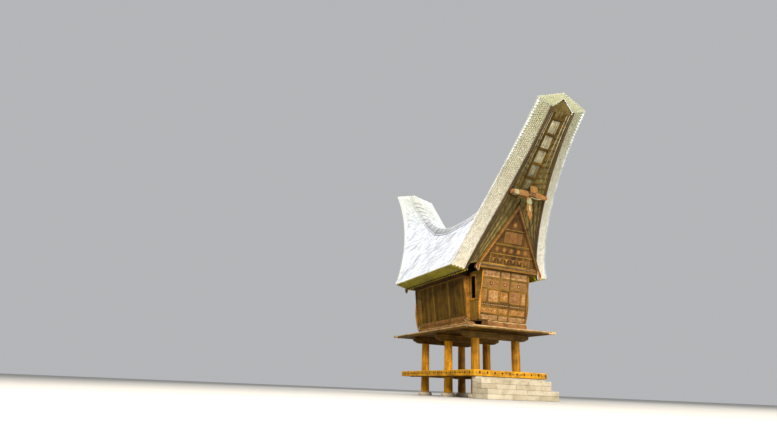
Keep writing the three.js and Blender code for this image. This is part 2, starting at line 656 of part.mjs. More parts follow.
function addGables() {
  for (const end of [FRONT, REAR]) {
    const ys = [FRONT_TOP_Y - GABLE_BEAM_IN, GABLE_FOOT_Y + GABLE_BEAM_OUT].map((y) => end.side * y);
    const beam = box(-GABLE_BEAM_HALF_X, GABLE_BEAM_HALF_X, Math.min(...ys), Math.max(...ys),
      BAY_TOP, GABLE_FOOT_Z);
    add(`gable_beam_${end.name}`, cut(beam, ...trim), 'timber');
    const half = GABLE_FOOT_X - RAKE_W / 2 + LEAN_SPARE;
    const wall = gableBoard(end, [[-half, -LEAN_SPARE], [half, -LEAN_SPARE],
      [0, gableLength(end) - RAKE_W / 2]], GABLE_T, 0);
    add(`gable_wall_${end.name}`, cut(wall, below(GABLE_FOOT_Z), ...trim), 'panel');
    const rakes = gableBoard(end, rakeOutline(end, 0), RAKE_T, GABLE_T + GAP);
    add(`raking_boards_${end.name}`, cut(rakes, below(GABLE_FOOT_Z), ...trim), 'deck');
  }
}

// The horn's underside: strips from the roof's inner edges to the raking boards, and above the
// gable a recessed ceiling that runs out to the tip.
function addSoffits() {
  for (const end of [FRONT, REAR]) {
    const edgeZ = (t) => hornStation(end, t).edgeUnder[2];
    const start = (GABLE_FOOT_Z + SOFFIT_START - edgeZ(0)) / (edgeZ(1) - edgeZ(0));
    const lean = (end.gableY - GABLE_FOOT_Y) / gableRise;
    const apexZ = GABLE_FOOT_Z + (gableLength(end) + RAKE_W) / Math.hypot(1, lean);
    const halves = [-1, 1].map((side) => {
      const sections = [];
      for (let i = 0; i <= SOFFIT_STEPS; i++) {
        const [x, y, z] = hornStation(end, start + (1 - start) * i / SOFFIT_STEPS).edgeUnder;
        const onGable = z < apexZ;
        const rakeX = (GABLE_FOOT_X + RAKE_W / 2) * (apexZ - z) / (apexZ - GABLE_FOOT_Z) - RAKE_LAP;
        const rakeY = end.side * (GABLE_FOOT_Y + (z - GABLE_FOOT_Z) * lean + RAKE_T / 2);
        const [deep] = mix([end.ceilingDeep], [end.ceilingDeepTip], (z - apexZ) / (edgeZ(1) - apexZ));
        const inner = onGable ? [Math.max(rakeX, -1), rakeY] : [-1, y - end.side * deep];
        const bend = onGable ? mix(inner, [x, y], SOFFIT_BEND) : [CEILING_HALF_X, inner[1]];
        const lower = [[x, y - end.side * SOFFIT_SET_BACK], bend, inner].map((p) => [side * p[0], p[1], z]);
        const upper = lower.map((p) => [p[0], p[1] - end.side * SOFFIT_T * Math.cos(SOFFIT_TILT),
          p[2] + SOFFIT_T * Math.sin(SOFFIT_TILT)]);
        sections.push({ upper, lower });
      }
      return loft(sections);
    });
    const rakes = toSolid(gableBoard(end, rakeOutline(end, 1), RAKE_T + 2 * CLEAR, GABLE_T - CLEAR));
    const wall = toSolid(gableBoard(end, rakeOutline(end, 1), GABLE_T + 2 * CLEAR, -CLEAR));
    const beam = toSolid(crossBeam(end, GAP));
    add(`horn_soffit_${end.name}`, mainBody(cut(join(...halves), rakes, wall, beam, ...trim)), 'timber');
  }
}

// A carved beam lies across each horn, its ends up against the roof's inner edges.
function crossBeam(end, grow) {
  const [, y, z] = hornStation(end, CROSS_AT).edgeUnder;
  const [middle, height] = [y + end.side * CROSS_DROP[0], z - CROSS_DROP[1]];
  const [halfX, halfY, halfZ] = [CROSS_HALF_X, CROSS_T / 2, CROSS_H / 2].map((half) => half + grow);
  return box(-halfX, halfX, middle - halfY, middle + halfY, height - halfZ, height + halfZ);
}

function addCrossBeams() {
  add('cross_beam_front', cut(crossBeam(FRONT, 0), ...trim), 'deck');
  add('cross_beam_rear', cut(crossBeam(REAR, 0), ...trim), 'deck');
}

addPosts();
addDeck();
addStep();
addLedge();
addSills();
addLongWalls();
addBaySides();
addEndWalls();
addPlates();
addGables();
addSoffits();
addCrossBeams();
addRoof();

export default house;
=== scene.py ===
# %% [markdown]
# # A Toraja tongkonan house, granary form
#
# The real house stands on six round posts. Between the posts is a deck to sit on, above it a
# wide ledge, then a small carved body, and over all a saddle roof: hundreds of split bamboo
# pieces in courses, half a metre thick, sweeping up into two horns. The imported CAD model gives
# every size and place. This lesson dresses it, piece by piece.

# %% Load the frame
import math
import random
from collections import namedtuple
from itertools import product

import bmesh
import bpy
from mathutils import Matrix, Vector, noise


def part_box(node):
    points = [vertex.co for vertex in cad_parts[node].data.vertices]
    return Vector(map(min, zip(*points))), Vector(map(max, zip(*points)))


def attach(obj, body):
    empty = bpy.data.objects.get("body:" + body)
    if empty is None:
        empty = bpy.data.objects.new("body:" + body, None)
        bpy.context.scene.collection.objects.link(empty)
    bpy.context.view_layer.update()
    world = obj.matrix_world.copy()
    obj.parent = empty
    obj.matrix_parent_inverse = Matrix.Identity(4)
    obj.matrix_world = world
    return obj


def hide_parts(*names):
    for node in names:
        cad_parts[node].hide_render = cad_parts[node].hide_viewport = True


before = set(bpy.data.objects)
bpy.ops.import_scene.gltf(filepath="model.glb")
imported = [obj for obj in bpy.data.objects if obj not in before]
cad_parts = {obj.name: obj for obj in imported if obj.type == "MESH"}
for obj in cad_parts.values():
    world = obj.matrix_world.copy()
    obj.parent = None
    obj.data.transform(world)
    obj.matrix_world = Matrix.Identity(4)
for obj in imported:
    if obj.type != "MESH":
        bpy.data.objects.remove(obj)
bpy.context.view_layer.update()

# %% [markdown]
# ## Camera
#
# The photograph is taken from near the ground, left of the front, looking up. A camera that is
# pitched and rolled a little gives the same lines, so no lens shift is needed.

# %% Camera
HOUSE_Y = sum(corner.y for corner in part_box("post_middle_left")) / 2    # middle of the posts
CAMERA_AT = Vector((-12.247, -18.816 + HOUSE_Y, 0.215))
CAMERA_YAW, CAMERA_PITCH, CAMERA_ROLL = (math.radians(v) for v in (23.865, 18.391, 2.366))
CAMERA_LENS = 23.54       # mm, on a sensor 36 mm wide


def link(name, data):
    """Puts a new object in the scene."""
    thing = bpy.data.objects.new(name, data)
    bpy.context.scene.collection.objects.link(thing)
    return thing


look = Vector((math.sin(CAMERA_YAW) * math.cos(CAMERA_PITCH),
               math.cos(CAMERA_YAW) * math.cos(CAMERA_PITCH), math.sin(CAMERA_PITCH)))
level = Vector((math.cos(CAMERA_YAW), -math.sin(CAMERA_YAW), 0))
above = level.cross(look)
right = level * math.cos(CAMERA_ROLL) + above * math.sin(CAMERA_ROLL)
up = above * math.cos(CAMERA_ROLL) - level * math.sin(CAMERA_ROLL)
camera = link("camera", bpy.data.cameras.new("camera"))
turned = Matrix((right, up, -look)).transposed().to_4x4()
camera.matrix_world = Matrix.Translation(CAMERA_AT) @ turned
camera.data.lens, camera.data.clip_end = CAMERA_LENS, 500
bpy.context.scene.camera = camera
print("camera at", tuple(round(v, 2) for v in CAMERA_AT))

# %% [markdown]
# ## Colour and shader helpers
#
# Colours are written as sRGB hex, as a colour chart gives them, and turned to linear once. One
# helper adds any node with its settings and its links, for shaders and Geometry Nodes alike.
# Every material can follow three things: the `grain` of a board, its own `tint`, and its place.

# %% Helpers for nodes
MM = 0.001


def linear(hex_colour):
    """An sRGB hex colour in linear light."""
    channels = (int(hex_colour[i:i + 2], 16) / 255 for i in (1, 3, 5))
    return *(c / 12.92 if c <= 0.04045 else ((c + 0.055) / 1.055) ** 2.4 for c in channels), 1.0


def add(tree, kind, inputs=None, out=0, stops=(), **settings):
    """Adds a node and returns one of its outputs. Each input is a value, or the socket that
    feeds it, and stops are the (place, hex colour) pairs of a colour ramp."""
    node = tree.nodes.new(kind)
    for key, value in settings.items():
        setattr(node, key, value)
    for key, value in (inputs or {}).items():
        if isinstance(value, bpy.types.NodeSocket):
            tree.links.new(value, node.inputs[key])
        else:
            node.inputs[key].default_value = value
    while stops and len(node.color_ramp.elements) < len(stops):
        node.color_ramp.elements.new(0.5)
    for (place, colour), element in zip(stops, node.color_ramp.elements if stops else ()):
        element.position, element.color = place, linear(colour)
    return node.outputs[out] if node.outputs else node


def new_material(name, roughness, specular=0.35):
    """A material with its tree, and the sockets for the grain, the tint and the place."""
    material = bpy.data.materials.new(name)
    material.use_nodes = True
    tree = material.node_tree
    shader = tree.nodes["Principled BSDF"].inputs
    shader["Roughness"].default_value = roughness
    shader["Specular IOR Level"].default_value = specular
    return (material, tree, add(tree, "ShaderNodeAttribute", out="Vector", attribute_name="grain"),
            add(tree, "ShaderNodeAttribute", out="Fac", attribute_name="tint"),
            add(tree, "ShaderNodeTexCoord", out="Object"))


def shaded(tree, colour, layers):
    """Darkens a colour in layers of (share, pattern, stops of a grey or brown ramp)."""
    for share, pattern, stops in layers:
        tone = add(tree, "ShaderNodeValToRGB", {0: pattern}, stops=stops)
        colour = add(tree, "ShaderNodeMix", {0: share, 6: colour, 7: tone}, 2,
                     data_type="RGBA", blend_type="MULTIPLY")
    return colour


def turned_to(tree, colour, other, pattern, start, stop, most=1.0):
    """Turns a colour to another while a pattern runs from start to stop."""
    share = add(tree, "ShaderNodeMapRange", {"Value": pattern, "From Min": start,
                                             "From Max": stop, "To Max": most})
    return add(tree, "ShaderNodeMix", {0: share, 6: colour, 7: other}, 2, data_type="RGBA")


def surface_finish(tree, colour, height, strength, depth):
    """Feeds the shader its colour and the relief of a pattern."""
    relief = add(tree, "ShaderNodeBump",
                 {"Height": height, "Strength": strength, "Distance": depth})
    shader = tree.nodes["Principled BSDF"].inputs
    tree.links.new(colour, shader["Base Color"])
    tree.links.new(relief, shader["Normal"])


# %% [markdown]
# ## Floor and light
#
# A pale floor, one big soft light from the left front, where the sun stands in the photograph,
# and a weaker one from the right keep the shadows soft. The standard view shows the colours as
# they are chosen, without a film curve that would pale them.

# %% Floor and light
FLOOR_HALF = 150.0
ROOM_MIDDLE = Vector((0, 0, 5))      # the lights point at the middle of the house
floor = link("floor", bpy.data.meshes.new("floor"))
floor.data.from_pydata([(x * FLOOR_HALF, y * FLOOR_HALF, 0)
                        for x, y in ((-1, -1), (1, -1), (1, 1), (-1, 1))], [], [(0, 1, 2, 3)])
floor_paint = new_material("pale studio floor", 0.9)[0]
floor_shader = floor_paint.node_tree.nodes["Principled BSDF"].inputs
floor_shader["Base Color"].default_value = linear("#bfbdb8")
floor.data.materials.append(floor_paint)

for name, place, size, power, colour in (
        ("key light", (-16, -19, 16), 9, 9500, "#fff6ea"),
        ("fill light", (9, -24, 8), 12, 4800, "#fffaf4"),
        ("back light", (6, 20, 16), 12, 2200, "#ffffff")):
    lamp = bpy.data.lights.new(name, "AREA")
    lamp.size, lamp.energy, lamp.color = size, power, linear(colour)[:3]
    holder = link(name, lamp)
    holder.location, holder.rotation_mode = place, "QUATERNION"
    holder.rotation_quaternion = (ROOM_MIDDLE - Vector(place)).to_track_quat("-Z", "Y")
    print(name, power, "W")

world = bpy.data.worlds.new("pale studio")
world.use_nodes = True
background = world.node_tree.nodes["Background"].inputs
background["Color"].default_value = linear("#e9ebee")
background["Strength"].default_value = 0.56
bpy.context.scene.world = world
bpy.context.scene.view_settings.view_transform = "Standard"    # keeps the strong earth colours

# %% [markdown]
# ## A workshop for boards, rods and turned pieces
#
# Nearly everything below the roof is cut from boards and logs. A small class collects such
# pieces in one mesh. Each piece also writes two attributes: `grain`, its place measured along
# and across its own fibres, and `tint`, one random value a board, so that one wood material
# follows the grain of every board and no two boards match.

# %% Even divisions and round shapes
def steps(low, high, count):
    """Evenly spaced values, both ends included."""
    return [low + (high - low) * k / count for k in range(count + 1)]


def parts(low, high, count):
    """The start and the end of each of the equal parts of a run."""
    edges = steps(low, high, count)
    return list(zip(edges, edges[1:]))


def middles(low, high, count):
    """The middle of each equal part, and its number."""
    return [(k, low + (k + 0.5) * (high - low) / count) for k in range(count)]


def circle(sides, radius=1.0, start=0.0):
    """Corners of a regular polygon, which does for a circle."""
    turns = [2 * math.pi * (k + start) / sides for k in range(sides)]
    return [(radius * math.cos(a), radius * math.sin(a)) for a in turns]


# %% Objects from meshes
made = []       # triangles of each finished piece


def store(mesh, name, kind, values):
    key = "vector" if kind == "FLOAT_VECTOR" else "value"
    mesh.attributes.new(name, kind, "POINT").data.foreach_set(key, values)


def closed_mesh(name, points, faces):
    """A mesh whose faces all look outwards."""
    mesh = bpy.data.meshes.new(name)
    mesh.from_pydata([tuple(p) for p in points], [], faces)
    work = bmesh.new()
    work.from_mesh(mesh)
    bmesh.ops.recalc_face_normals(work, faces=work.faces)
    work.to_mesh(mesh)
    work.free()
    return mesh


def evaluated(thing):
    """A plain copy of an object's mesh with its modifiers carried out."""
    graph = bpy.context.evaluated_depsgraph_get()
    return bpy.data.meshes.new_from_object(thing.evaluated_get(graph))


def keep(piece, replaced=(), smooth=None):
    """Rounds a piece off up to an angle. It moves with the one body, and may stand for CAD nodes."""
    if smooth:
        piece.data.shade_smooth()
        piece.data.set_sharp_from_angle(angle=math.radians(smooth))
    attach(piece, "root")
    if replaced:
        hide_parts(*replaced)
    made.append(sum(len(p.vertices) - 2 for p in piece.data.polygons))
    print(f"{piece.name}: {made[-1]} triangles, {len(replaced)} CAD nodes replaced")
    return piece


# %% The workshop
BOARD_BEVEL = 0.006
BEVEL_MOST = 0.6       # of half a board's thickness
LOG_GRAIN_R = 0.12     # a rod's fibres lie this far from its middle
GRAIN_SHIFT = 9.0      # the grain starts at most this far off, in m


class Workshop:
    def __init__(self, seed):
        self.points, self.faces, self.grain, self.tint = [], [], [], []
        self.random = random.Random(seed)

    def solid(self, points, faces, grain, tint=None):
        """Adds one closed solid; grain holds each point in the piece's own axes."""
        start = len(self.points)
        tint = self.random.random() if tint is None else tint
        self.points += [Vector(p) for p in points]
        self.grain += [Vector(g) for g in grain]
        self.tint += [tint] * len(points)
        self.faces += [[start + i for i in face] for face in faces]

    def shifted(self, grain):
        """Starts the grain somewhere else on every piece."""
        shift = Vector((*(self.random.uniform(0, GRAIN_SHIFT) for _ in range(2)), 0))
        return [Vector(g) + shift for g in grain]

    def board(self, centre, size, along=(1, 0, 0), out=(0, 0, 1), bevel=BOARD_BEVEL, tint=None):
        """A board with chamfered edges: length along, width across, thickness out."""
        x = Vector(along).normalized()
        z = (Vector(out) - x * x.dot(Vector(out))).normalized()
        y = z.cross(x)
        half = [v / 2 for v in size]
        b = min(bevel, min(half) * BEVEL_MOST)
        corners = list(product((-1, 1), repeat=3))      # each corner is cut to three points
        local = [[s * (h - b * (k != axis)) for k, (s, h) in enumerate(zip(corner, half))]
                 for corner in corners for axis in range(3)]
        faces = []
        for axis in range(3):
            u, v = (k for k in range(3) if k != axis)

            def at(s, su, sv, cut):
                signs = {axis: s, u: su, v: sv}
                return 3 * corners.index((signs[0], signs[1], signs[2])) + cut
            faces += [[at(s, su, sv, axis) for su, sv in ((-1, -1), (1, -1), (1, 1), (-1, 1))]
                      for s in (-1, 1)]
            faces += [[at(s, su, sv, cut) for s, cut in ((-1, u), (1, u), (1, v), (-1, v))]
                      for su, sv in product((-1, 1), repeat=2)]
        faces += [[3 * k, 3 * k + 1, 3 * k + 2] for k in range(8)]
        points = [Vector(centre) + x * p[0] + y * p[1] + z * p[2] for p in local]
        self.solid(points, faces, self.shifted(local), tint)

    def plank(self, low, high, axis, bevel=BOARD_BEVEL, tint=None):
        """A board between two corners, with its grain along axis 0, 1 or 2."""
        low, high = Vector(low), Vector(high)
        size, way, thick = high - low, Matrix.Identity(3), 2 if axis < 2 else 1
        self.board((low + high) / 2, (size[axis], size[3 - axis - thick], size[thick]),
                   way[axis], way[thick], bevel, tint)

    def loft(self, rings, tint=None, grain=None):
        """A skin through rings of equal length, with both ends capped."""
        count, last = len(rings[0]), len(rings) - 1
        faces = []
        for r, k in product(range(last), range(count)):
            a, b = r * count + k, r * count + (k + 1) % count
            faces.append([a, b, b + count, a + count])
        faces += [list(range(count))[::-1], [last * count + k for k in range(count)]]
        if grain is None:
            far, grain = 0.0, []
            for before, ring in zip(rings[:1] + rings, rings):
                far += (Vector(ring[0]) - Vector(before[0])).length
                grain += [(far, x, y) for x, y in circle(count, LOG_GRAIN_R)]
            grain = self.shifted(grain)
        self.solid([p for ring in rings for p in ring], faces, grain, tint)

    def rod(self, path, radius, sides=8, tint=None):
        """A round rod along a path of points; radius may be one value or one a point."""
        path = [Vector(p) for p in path]
        radii = radius if isinstance(radius, list) else [radius] * len(path)
        rings = []
        for i, p in enumerate(path):
            way = (path[min(i + 1, len(path) - 1)] - path[max(i - 1, 0)]).normalized()
            side = way.cross(Vector((0, 0, 1)))
            if side.length < 0.05:
                side = way.cross(Vector((0, 1, 0)))
            side.normalize()
            top = side.cross(way)
            rings.append([p + (side * x + top * y) * radii[i] for x, y in circle(sides)])
        self.loft(rings, tint)

    def turned(self, profile, centre, axis=(0, 0, 1), sides=24, wobble=0.0):
        """A turned piece: (radius, height) pairs about an axis, a little out of round."""
        axis = Vector(axis)
        side = axis.cross(Vector((0, 1, 0)) if abs(axis.y) < 0.9 else Vector((1, 0, 0)))
        other = axis.cross(side)
        rings = []
        for radius, height in profile:
            here = Vector(centre) + axis * height
            ways = [side * x + other * y for x, y in circle(sides)]
            rings.append([here + w * radius * (1 + wobble * noise.noise((here + w * 0.3) * 2.3))
                          for w in ways])
        self.loft(rings)

    def plate(self, outline, depth, origin, along, upward, tint=None, bevel=0.004):
        """A flat shape given depth; the front edge is chamfered. Depth goes along x cross up."""
        x, z = Vector(along).normalized(), Vector(upward).normalized()
        out, flat = x.cross(z), [Vector(p) for p in outline]
        area = sum(p.cross(q) for p, q in zip(flat[-1:] + flat, flat))
        inner = []
        for before, p, after in zip(flat[-1:] + flat, flat, flat[1:] + flat[:1]):
            way = (after - before).normalized()
            inner.append(p + Vector((-way.y, way.x)) * math.copysign(bevel, area))
        rings = [[Vector(origin) + x * p.x + z * p.y + out * d for p in loop]
                 for loop, d in ((flat, 0), (flat, depth - bevel), (inner, depth))]
        grain = [(p.x, p.y, d) for loop, d in ((flat, 0), (flat, depth), (inner, depth))
                 for p in loop]
        self.loft(rings, tint, grain)

    def build(self, name, material, slot, replaced=(), smooth=None):
        """Makes the object, turns every face outwards and rides it on the house."""
        mesh = closed_mesh(name, self.points, self.faces)
        store(mesh, "grain", "FLOAT_VECTOR", [c for g in self.grain for c in g])
        store(mesh, "tint", "FLOAT", self.tint)
        mesh.materials.append(material)
        return keep(link(name, mesh), replaced, smooth)


# %% [markdown]
# ## Bamboo
#
# Old split bamboo bleaches to a silvery grey-white on the roof's top, where the sun and rain
# reach it. Its cut ends stay cream with a dark bore, and underneath it keeps an olive brown.
# Each piece has fine dark streaks along its fibres, about 4 mm apart, which are drawn 12 mm
# apart here because finer ones would not show.

# %% Bamboo materials
STREAK = 12 * MM
BEHIND_RIM = (-0.08, -0.2)     # where a cut end turns to its skin, in culm widths


def bamboo(name, pale, middle, dark, bore=None, roughness=0.75, stain=0.5, high=None,
           climb=(5.5, 10.0), most=0.8, skin=None, specular=0.35):
    """Split bamboo. The colour runs in streaks along `grain`, and each piece has its own `tint`.
    high is the colour that the pieces turn to, by a share of most, between the two heights of
    climb, and skin the colour of a cut end's outer side, behind its rim."""
    material, tree, grain, tint, place = new_material(name, roughness, specular)
    spread = add(tree, "ShaderNodeVectorMath", {0: grain, 1: (1.5, 1 / STREAK, 1 / STREAK)},
                 operation="MULTIPLY")
    own = add(tree, "ShaderNodeVectorMath", {0: spread, 1: tint}, operation="ADD")
    streak = add(tree, "ShaderNodeTexNoise", {"Vector": own, "Scale": 1.0, "Detail": 2.0})
    patch = add(tree, "ShaderNodeTexNoise",
                {"Vector": place, "Scale": 0.9, "Detail": 4.0, "Roughness": 0.6})
    body = add(tree, "ShaderNodeValToRGB", {0: streak},
               stops=((0.3, dark), (0.5, middle), (0.68, pale)))
    body = shaded(tree, body, (
        (0.75, tint, ((0.0, "#b4b4b4"), (0.4, "#ececec"), (1.0, "#ffffff"))),
        (stain, patch, ((0.35, "#9d9a8c"), (0.55, "#ffffff")))))
    if high:
        height = add(tree, "ShaderNodeSeparateXYZ", {0: place}, "Z")
        body = turned_to(tree, body, linear(high), height, *climb, most)
    if skin:
        behind = add(tree, "ShaderNodeSeparateXYZ", {0: grain}, "X")
        body = turned_to(tree, body, linear(skin), behind, *BEHIND_RIM)
    if bore:
        hollow = add(tree, "ShaderNodeAttribute", out="Fac", attribute_name="bore")
        body = add(tree, "ShaderNodeMix", {0: hollow, 6: body, 7: linear(bore)}, 2,
                   data_type="RGBA")
    surface_finish(tree, body, streak, 0.35, 4 * MM)
    return material


bamboo_top = bamboo("split bamboo, bleached by the sun", "#f2f9fc", "#e4ecfb", "#c0c7d4",
                    stain=0.3, high="#c4c8b4", climb=(8.0, 11.0))
bamboo_ends = bamboo("cut bamboo ends", "#fcfcfc", "#fcfcef", "#ebe0bd", bore="#c0ae82",
                     stain=0.2, high="#6b7538", skin="#dfe2e0")
# The underside turns dark brown from 4.9 to 5.5 m up: painted shade inside the roof and under the
# horns.
bamboo_under = bamboo("old bamboo in the shade", "#e9d828", "#c8b71e", "#8c7f10",
                      bore="#63590c", roughness=0.7, high="#4f4226", climb=(4.9, 5.5),
                      most=0.95, skin="#a9a894", specular=0.1)
bamboo_batten = bamboo("smoked bamboo battens", "#5f4a24", "#473518", "#2a1d0c")
bamboo_bind = bamboo("rattan binding", "#cdc5b4", "#a89e8c", "#756d5e")

# %% [markdown]
# ## Timber
#
# Everything below the roof is hardwood. One function makes each kind: grain streaks along the
# fibres, dust and smoke in soft patches, and a tone of its own for every board. The colours and
# the sheen differ, and the wood under the roof turns to another tone with its height.
#
# Posts and deck are oiled and rubbed by use, and glow golden with a soft sheen. Smoke has
# browned the frames and nearly blackened the wall boards. The ledge's rim is weathered, and
# paler along its top as a painted highlight. The raking boards carry painted sunlight on the
# left and painted shade towards their peaks, and under the horns the wood has gone grey and
# olive. Limed wood is chalky and pale. The hidden wood keeps its own dark brown.

# %% Timber materials
GRAIN = 9 * MM         # distance between grain lines, a little coarser than the real 3 mm


def timber(name, pale, middle, dark, roughness=0.7, along=None, high=None, climb=(5.3, 6.6)):
    """Sawn or adzed hardwood. The grain follows each board, unless along stretches it in the
    object's own axes. high is the colour that the wood turns to between the heights of climb."""
    material, tree, grain, tint, place = new_material(name, roughness, 0.15)
    spread = add(tree, "ShaderNodeVectorMath",
                 {0: place if along else grain, 1: along or (1.2, 0.5 / GRAIN, 0.5 / GRAIN)},
                 operation="MULTIPLY")
    fibre = add(tree, "ShaderNodeTexNoise", {"Vector": spread, "Scale": 1.0, "Detail": 3.0,
                                             "Roughness": 0.65, "Distortion": 0.4})
    patch = add(tree, "ShaderNodeTexNoise",
                {"Vector": place, "Scale": 2.2, "Detail": 5.0, "Roughness": 0.7})
    body = add(tree, "ShaderNodeValToRGB", {0: fibre},
               stops=((0.3, dark), (0.5, middle), (0.7, pale)))
    darkest = "#ffffff" if along else "#a3a3a3"
    body = shaded(tree, body, ((0.8, tint, ((0.0, darkest), (1.0, "#ffffff"))),))
    if high:
        height = add(tree, "ShaderNodeSeparateXYZ", {0: place}, "Z")
        toned = add(tree, "ShaderNodeValToRGB", {0: fibre}, stops=((0.3, dark), (0.7, high)))
        body = turned_to(tree, body, toned, height, *climb)
    body = shaded(tree, body, ((0.7, patch, ((0.36, "#8a7c68"), (0.56, "#ffffff"))),))
    surface_finish(tree, body, fibre, 0.4, 3 * MM)
    return material


post_wood = timber("oiled hardwood log", "#ffb604", "#d49103", "#845602", 0.5)
deck_wood = timber("sawn deck planks", "#f0b41e", "#d69a16", "#8f600b", 0.6)
frame_wood = timber("smoked hardwood", "#a98133", "#856424", "#4c3713")
sill_wood = timber("carved sill timber", "#c69458", "#a9763f", "#6f4722")
# The ledge's rim is weathered, and paler still as a painted highlight along its top.
ledge_wood = timber("weathered ledge edge", "#dcbe8c", "#c8a673", "#9a7b4e", 0.75)
limed_wood = timber("limed wood", "#b8b894", "#a2a27e", "#7a785a", 0.8)
dark_boards = timber("dark wall boards", "#84600e", "#5f4608", "#332405", 0.75)
gable_wood = timber("weathered gable boards", "#724f20", "#5f4218", "#36260e", 0.75)
orange_wood = timber("orange carved timber", "#cc9232", "#ab7427", "#694116", 0.65)
ladder_wood = timber("weathered boards under the horns", "#8a835c", "#6f6949", "#47432d", 0.8,
                     high="#d2ccaa", climb=(8.0, 9.4))
# The raking boards turn darker between 5.3 and 6.6 m up: painted shade under the horn towards the
# peak.
rake_wood = timber("faded raking boards", "#ab7929", "#8d6021", "#4f3313", 0.65, high="#7b5f2d")
wing_wood = timber("sunlit orange edge boards", "#cb8f35", "#b07622", "#7a4b18", 0.6)
hidden_wood = timber("hidden hardwood", "#624620", "#483217", "#291b0b", 0.75, (14, 2, 14))
horn_wood = timber("smoked horn boarding", "#83713d", "#64592e", "#3b3118", 0.8, (14, 4, 3))

# %% [markdown]
# ## Roof shape
#
# The roof is a ruled shape: straight lines run from a sagging ridge down to an edge that
# follows the eave and then curls in, out and up into each horn. The same few sizes that shaped
# the CAD solids give the line for any place on it, so the bamboo can follow it exactly.

# %% Roof shape
slope_low, slope_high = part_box("roof_slope_right")
EAVE_X, EAVE_Z, EAVE_Y = slope_high.x, 4.813, 2.46
VERGE_IN, VERGE_DROP, TIP_DROP = 0.63, 0.13, 0.1
ROOF_DEEP, ROOF_DEEP_TIP = 0.70, 0.24
UNDER_OUT = 0.09       # the underside reaches this far past the ends of the eave
HORN_SWELL = 0.48      # and swells out under a horn
FINE = 3000            # steps by which the length of an edge is measured
RIDGE_OUT, TIP_Z = 0.12, 10.37
RIDGE_LOW_Y, RIDGE_LOW_Z, RIDGE_POWER = 0.9, 7.66, 2.2

Horn = namedtuple("Horn", "side tip_y tip_x ridge_z inward outward")
FRONT = Horn(-1, HOUSE_Y - slope_low.y - RIDGE_OUT, 1.12, slope_high.z, 1.67, 1.37)
REAR = Horn(1, slope_high.y - HOUSE_Y - RIDGE_OUT, 1.10, 10.70, 1.71, 1.51)


def ridge_height(y):
    horn = FRONT if y < RIDGE_LOW_Y else REAR
    reach = horn.tip_y + RIDGE_OUT - horn.side * RIDGE_LOW_Y
    rise = (abs(y - RIDGE_LOW_Y) / reach) ** RIDGE_POWER
    return RIDGE_LOW_Z + (horn.ridge_z - RIDGE_LOW_Z) * rise


def station(s):
    """Ridge, edge, and the two points under them, at s: -1 front tip, 0 to 1 middle, 2 rear tip."""
    if 0 <= s <= 1:
        x, z, deep, drop = EAVE_X, EAVE_Z, ROOF_DEEP, VERGE_DROP
        ridge_y = y = EAVE_Y * (2 * s - 1)
        ridge_under_y = under_y = (EAVE_Y + UNDER_OUT) * (2 * s - 1)
    else:
        horn, t = (FRONT, -s) if s < 0 else (REAR, s - 1)
        x = horn.tip_x + (EAVE_X - horn.tip_x) * max(1 - t, 0) ** horn.inward
        z = EAVE_Z + (TIP_Z - EAVE_Z) * t
        deep = ROOF_DEEP + (ROOF_DEEP_TIP - ROOF_DEEP) * t
        drop = VERGE_DROP + TIP_DROP * t
        reach = EAVE_Y + (horn.tip_y - EAVE_Y) * t ** horn.outward
        y, ridge_y = horn.side * reach, horn.side * (reach + RIDGE_OUT * t)
        out = horn.side * (UNDER_OUT * (1 - t) + HORN_SWELL * t * (1 - t))
        under_y, ridge_under_y = y + out, ridge_y + out
    top = ridge_height(ridge_y)
    return [Vector(p) for p in ((0, ridge_y, top), (x, y, z), (0, ridge_under_y, top - deep),
                                (x - VERGE_IN, under_y, z - drop))]


def placed(point, side):
    return Vector((point.x * side, point.y + HOUSE_Y, point.z))


def even_stations(step, row=1):
    """Values of s whose edge points lie about step apart, from tip to tip."""
    values, run, last = [], step / 2, station(-1)[row]
    for s in steps(-1, 2, FINE):
        here = station(s)[row]
        run += (here - last).length
        if run >= step:
            values.append(s)
            run -= step
        last = here
    return values


print("front tip", tuple(round(v, 2) for v in placed(station(-1)[1], 1)))

# %% [markdown]
# ## Placing many pieces
#
# The split culms and their cut ends repeat thousands of times. One Geometry Nodes tree sets a
# piece on every point of a guide mesh. Each point says which way the piece runs (`along`),
# which way it faces (`out`) and its `size`; the tree turns, scales and slightly shuffles the
# piece, gives it a random `tint`, makes the copies real and sets the material.

# %% The placing tree
ROW_MARKS = ("along", "out", "size")


